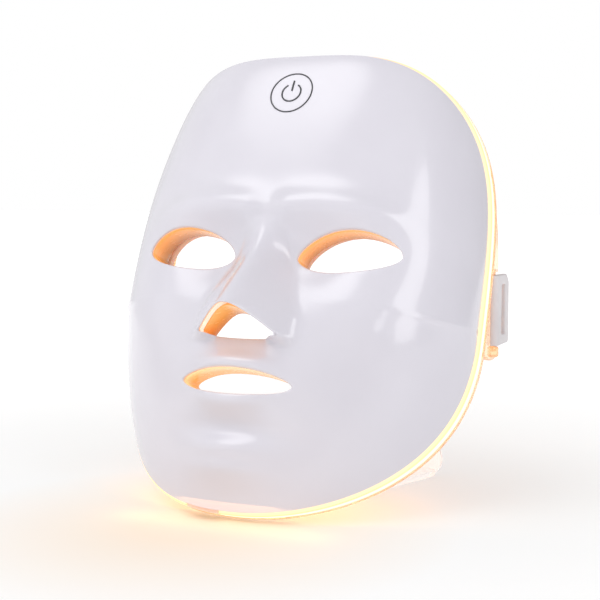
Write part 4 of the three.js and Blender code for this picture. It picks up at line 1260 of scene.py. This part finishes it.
# ---- the strap buckles ----
def buckle():
    """The plate with its strap slot, the clip that holds the bar, and the ribs."""
    h, r, thick = BUCKLE_HALF, BUCKLE_REAR, BUCKLE_OUTER - BUCKLE_INNER
    rim = np.concatenate([
        [(-2.2, -h)],
        quadratic((r - 2, -h), (r, -h), (r, 2 - h)),
        [(r, 2 - h)],
        quadratic((r, h - 5), (r - 0.1, h - 3.8), (r - 0.9, h - 3), 5),
        quadratic((r - 3, h - 0.9), (r - 3.8, h - 0.1), (r - 5, h), 5),
        [(r - 5, h), (-2.2, h)],
    ])
    slot = rounded(SLOT_HALF_DEPTH, SLOT_HALF, 0.8) + [SLOT_MIDDLE, 0]

    def lift(flat, w):
        y, z = flat.T
        # the face runs round the clip in front and is slightly crowned behind it
        face = np.sqrt(BUCKLE_OUTER**2 - np.minimum(y, 0) ** 2) - 0.25 * (np.maximum(y, 0) / r) ** 2
        inner = np.maximum(BUCKLE_INNER, np.sqrt(np.maximum(0, 2.3**2 - y * y)))
        return at(face + (inner - face) * w / thick, y, z)

    body = plate(rim, [slot], lift, thick, 1.1, bevel=0.55, rounds=4, back_bevel=0.4)
    a = np.linspace(math.pi + CLIP_GAP, 3 * math.pi - CLIP_GAP, 48)
    ring = np.stack([np.cos(a), np.sin(a)], -1)
    heights = [-h, 0.2 - h, *np.linspace(0.7 - h, h - 0.7, 10), h - 0.2, h]
    soft = [0.45, 0.12] + [0.0] * 10 + [0.12, 0.45]
    rings = []
    for z, d in zip(heights, soft):
        x, y = np.concatenate([ring * (BUCKLE_OUTER - d), ring[::-1] * (CLIP_BORE + d)]).T
        rings.append(at(x, y, z))
    clip = loft(rings)
    ribs = [plate(rounded(0.9, 0.55, 0.4, 4) + [2.2, 4.55 - h + i * RIB_PITCH], [],
                  facing(lambda x, z, w: r + 0.58 - w), 1.2, 1.0, bevel=0.3) for i in range(RIB_COUNT)]
    return on_bar(merge(body, clip, *ribs))


build_sides("buckle_left_clip", buckle(), "buckle_plastic", "buckle_left", ["buckle_left"], sharp=45)


# ---- studio ----
def white_room(tree):
    """A white room, brighter on one side, with a soft patch overhead that has no edges of its own."""
    direction = node(tree, "TexCoord").outputs["Generated"]
    room = spread(tree, measured(tree, direction, "DOT_PRODUCT", BRIGHT_SIDE), 0.44, 0.96, start=-1.0)
    patch = spread(tree, measured(tree, direction, "DOT_PRODUCT", OVERHEAD), 0.0, 2.2, 0.925, 0.995)
    patch.node.interpolation_type = "SMOOTHSTEP"
    sky = node(tree, "Math")
    tree.links.new(room, sky.inputs[0])
    tree.links.new(patch, sky.inputs[1])
    # the backdrop behind the object is plain white
    seen = node(tree, "Mix")
    wire(tree, seen, Factor=node(tree, "LightPath").outputs["Is Camera Ray"])
    tree.links.new(sky.outputs[0], seen.inputs[2])
    seen.inputs[3].default_value = 1.0
    background = tree.nodes["Background"]
    background.inputs["Color"].default_value = (1, 1, 1, 1)
    wire(tree, background, Strength=seen.outputs[0])


def softbox(name, place, aim, size, watts, colour):
    data = bpy.data.lights.new(name, "AREA")
    data.shape = "RECTANGLE"
    data.size, data.size_y = size
    data.energy = watts
    data.color = colour
    light = bpy.data.objects.new(name, data)
    light.location = place
    light.rotation_euler = (Vector(aim) - Vector(place)).to_track_quat("-Z", "Y").to_euler()
    return light


def studio():
    scene = bpy.context.scene
    scene.view_settings.view_transform = "Standard"
    mesh = bpy.data.meshes.new("floor")
    mesh.from_pydata([(-6, -6, 0), (6, -6, 0), (6, 6, 0), (-6, 6, 0)], [], [(0, 1, 2, 3)])
    mesh.materials.append(studio_floor())
    floor = bpy.data.objects.new("floor", mesh)
    scene.collection.objects.link(floor)
    scene.world = bpy.data.worlds.new("studio")
    scene.world.use_nodes = True
    white_room(scene.world.node_tree)
    for box in SOFTBOXES:
        scene.collection.objects.link(softbox(*box))

    camera = bpy.data.objects.new("camera", bpy.data.cameras.new("camera"))
    camera.data.lens = CAMERA_LENS
    camera.data.sensor_width = 36
    a, e = math.radians(CAMERA_AZIMUTH), math.radians(CAMERA_ELEVATION)
    back = Vector((math.sin(a) * math.cos(e), -math.cos(a) * math.cos(e), math.sin(e)))
    camera.location = CAMERA_TARGET + back * CAMERA_DISTANCE
    camera.rotation_euler = back.to_track_quat("Z", "Y").to_euler()
    camera.data.clip_start = 0.01
    scene.collection.objects.link(camera)
    scene.camera = camera


studio()

bpy.context.view_layer.update()
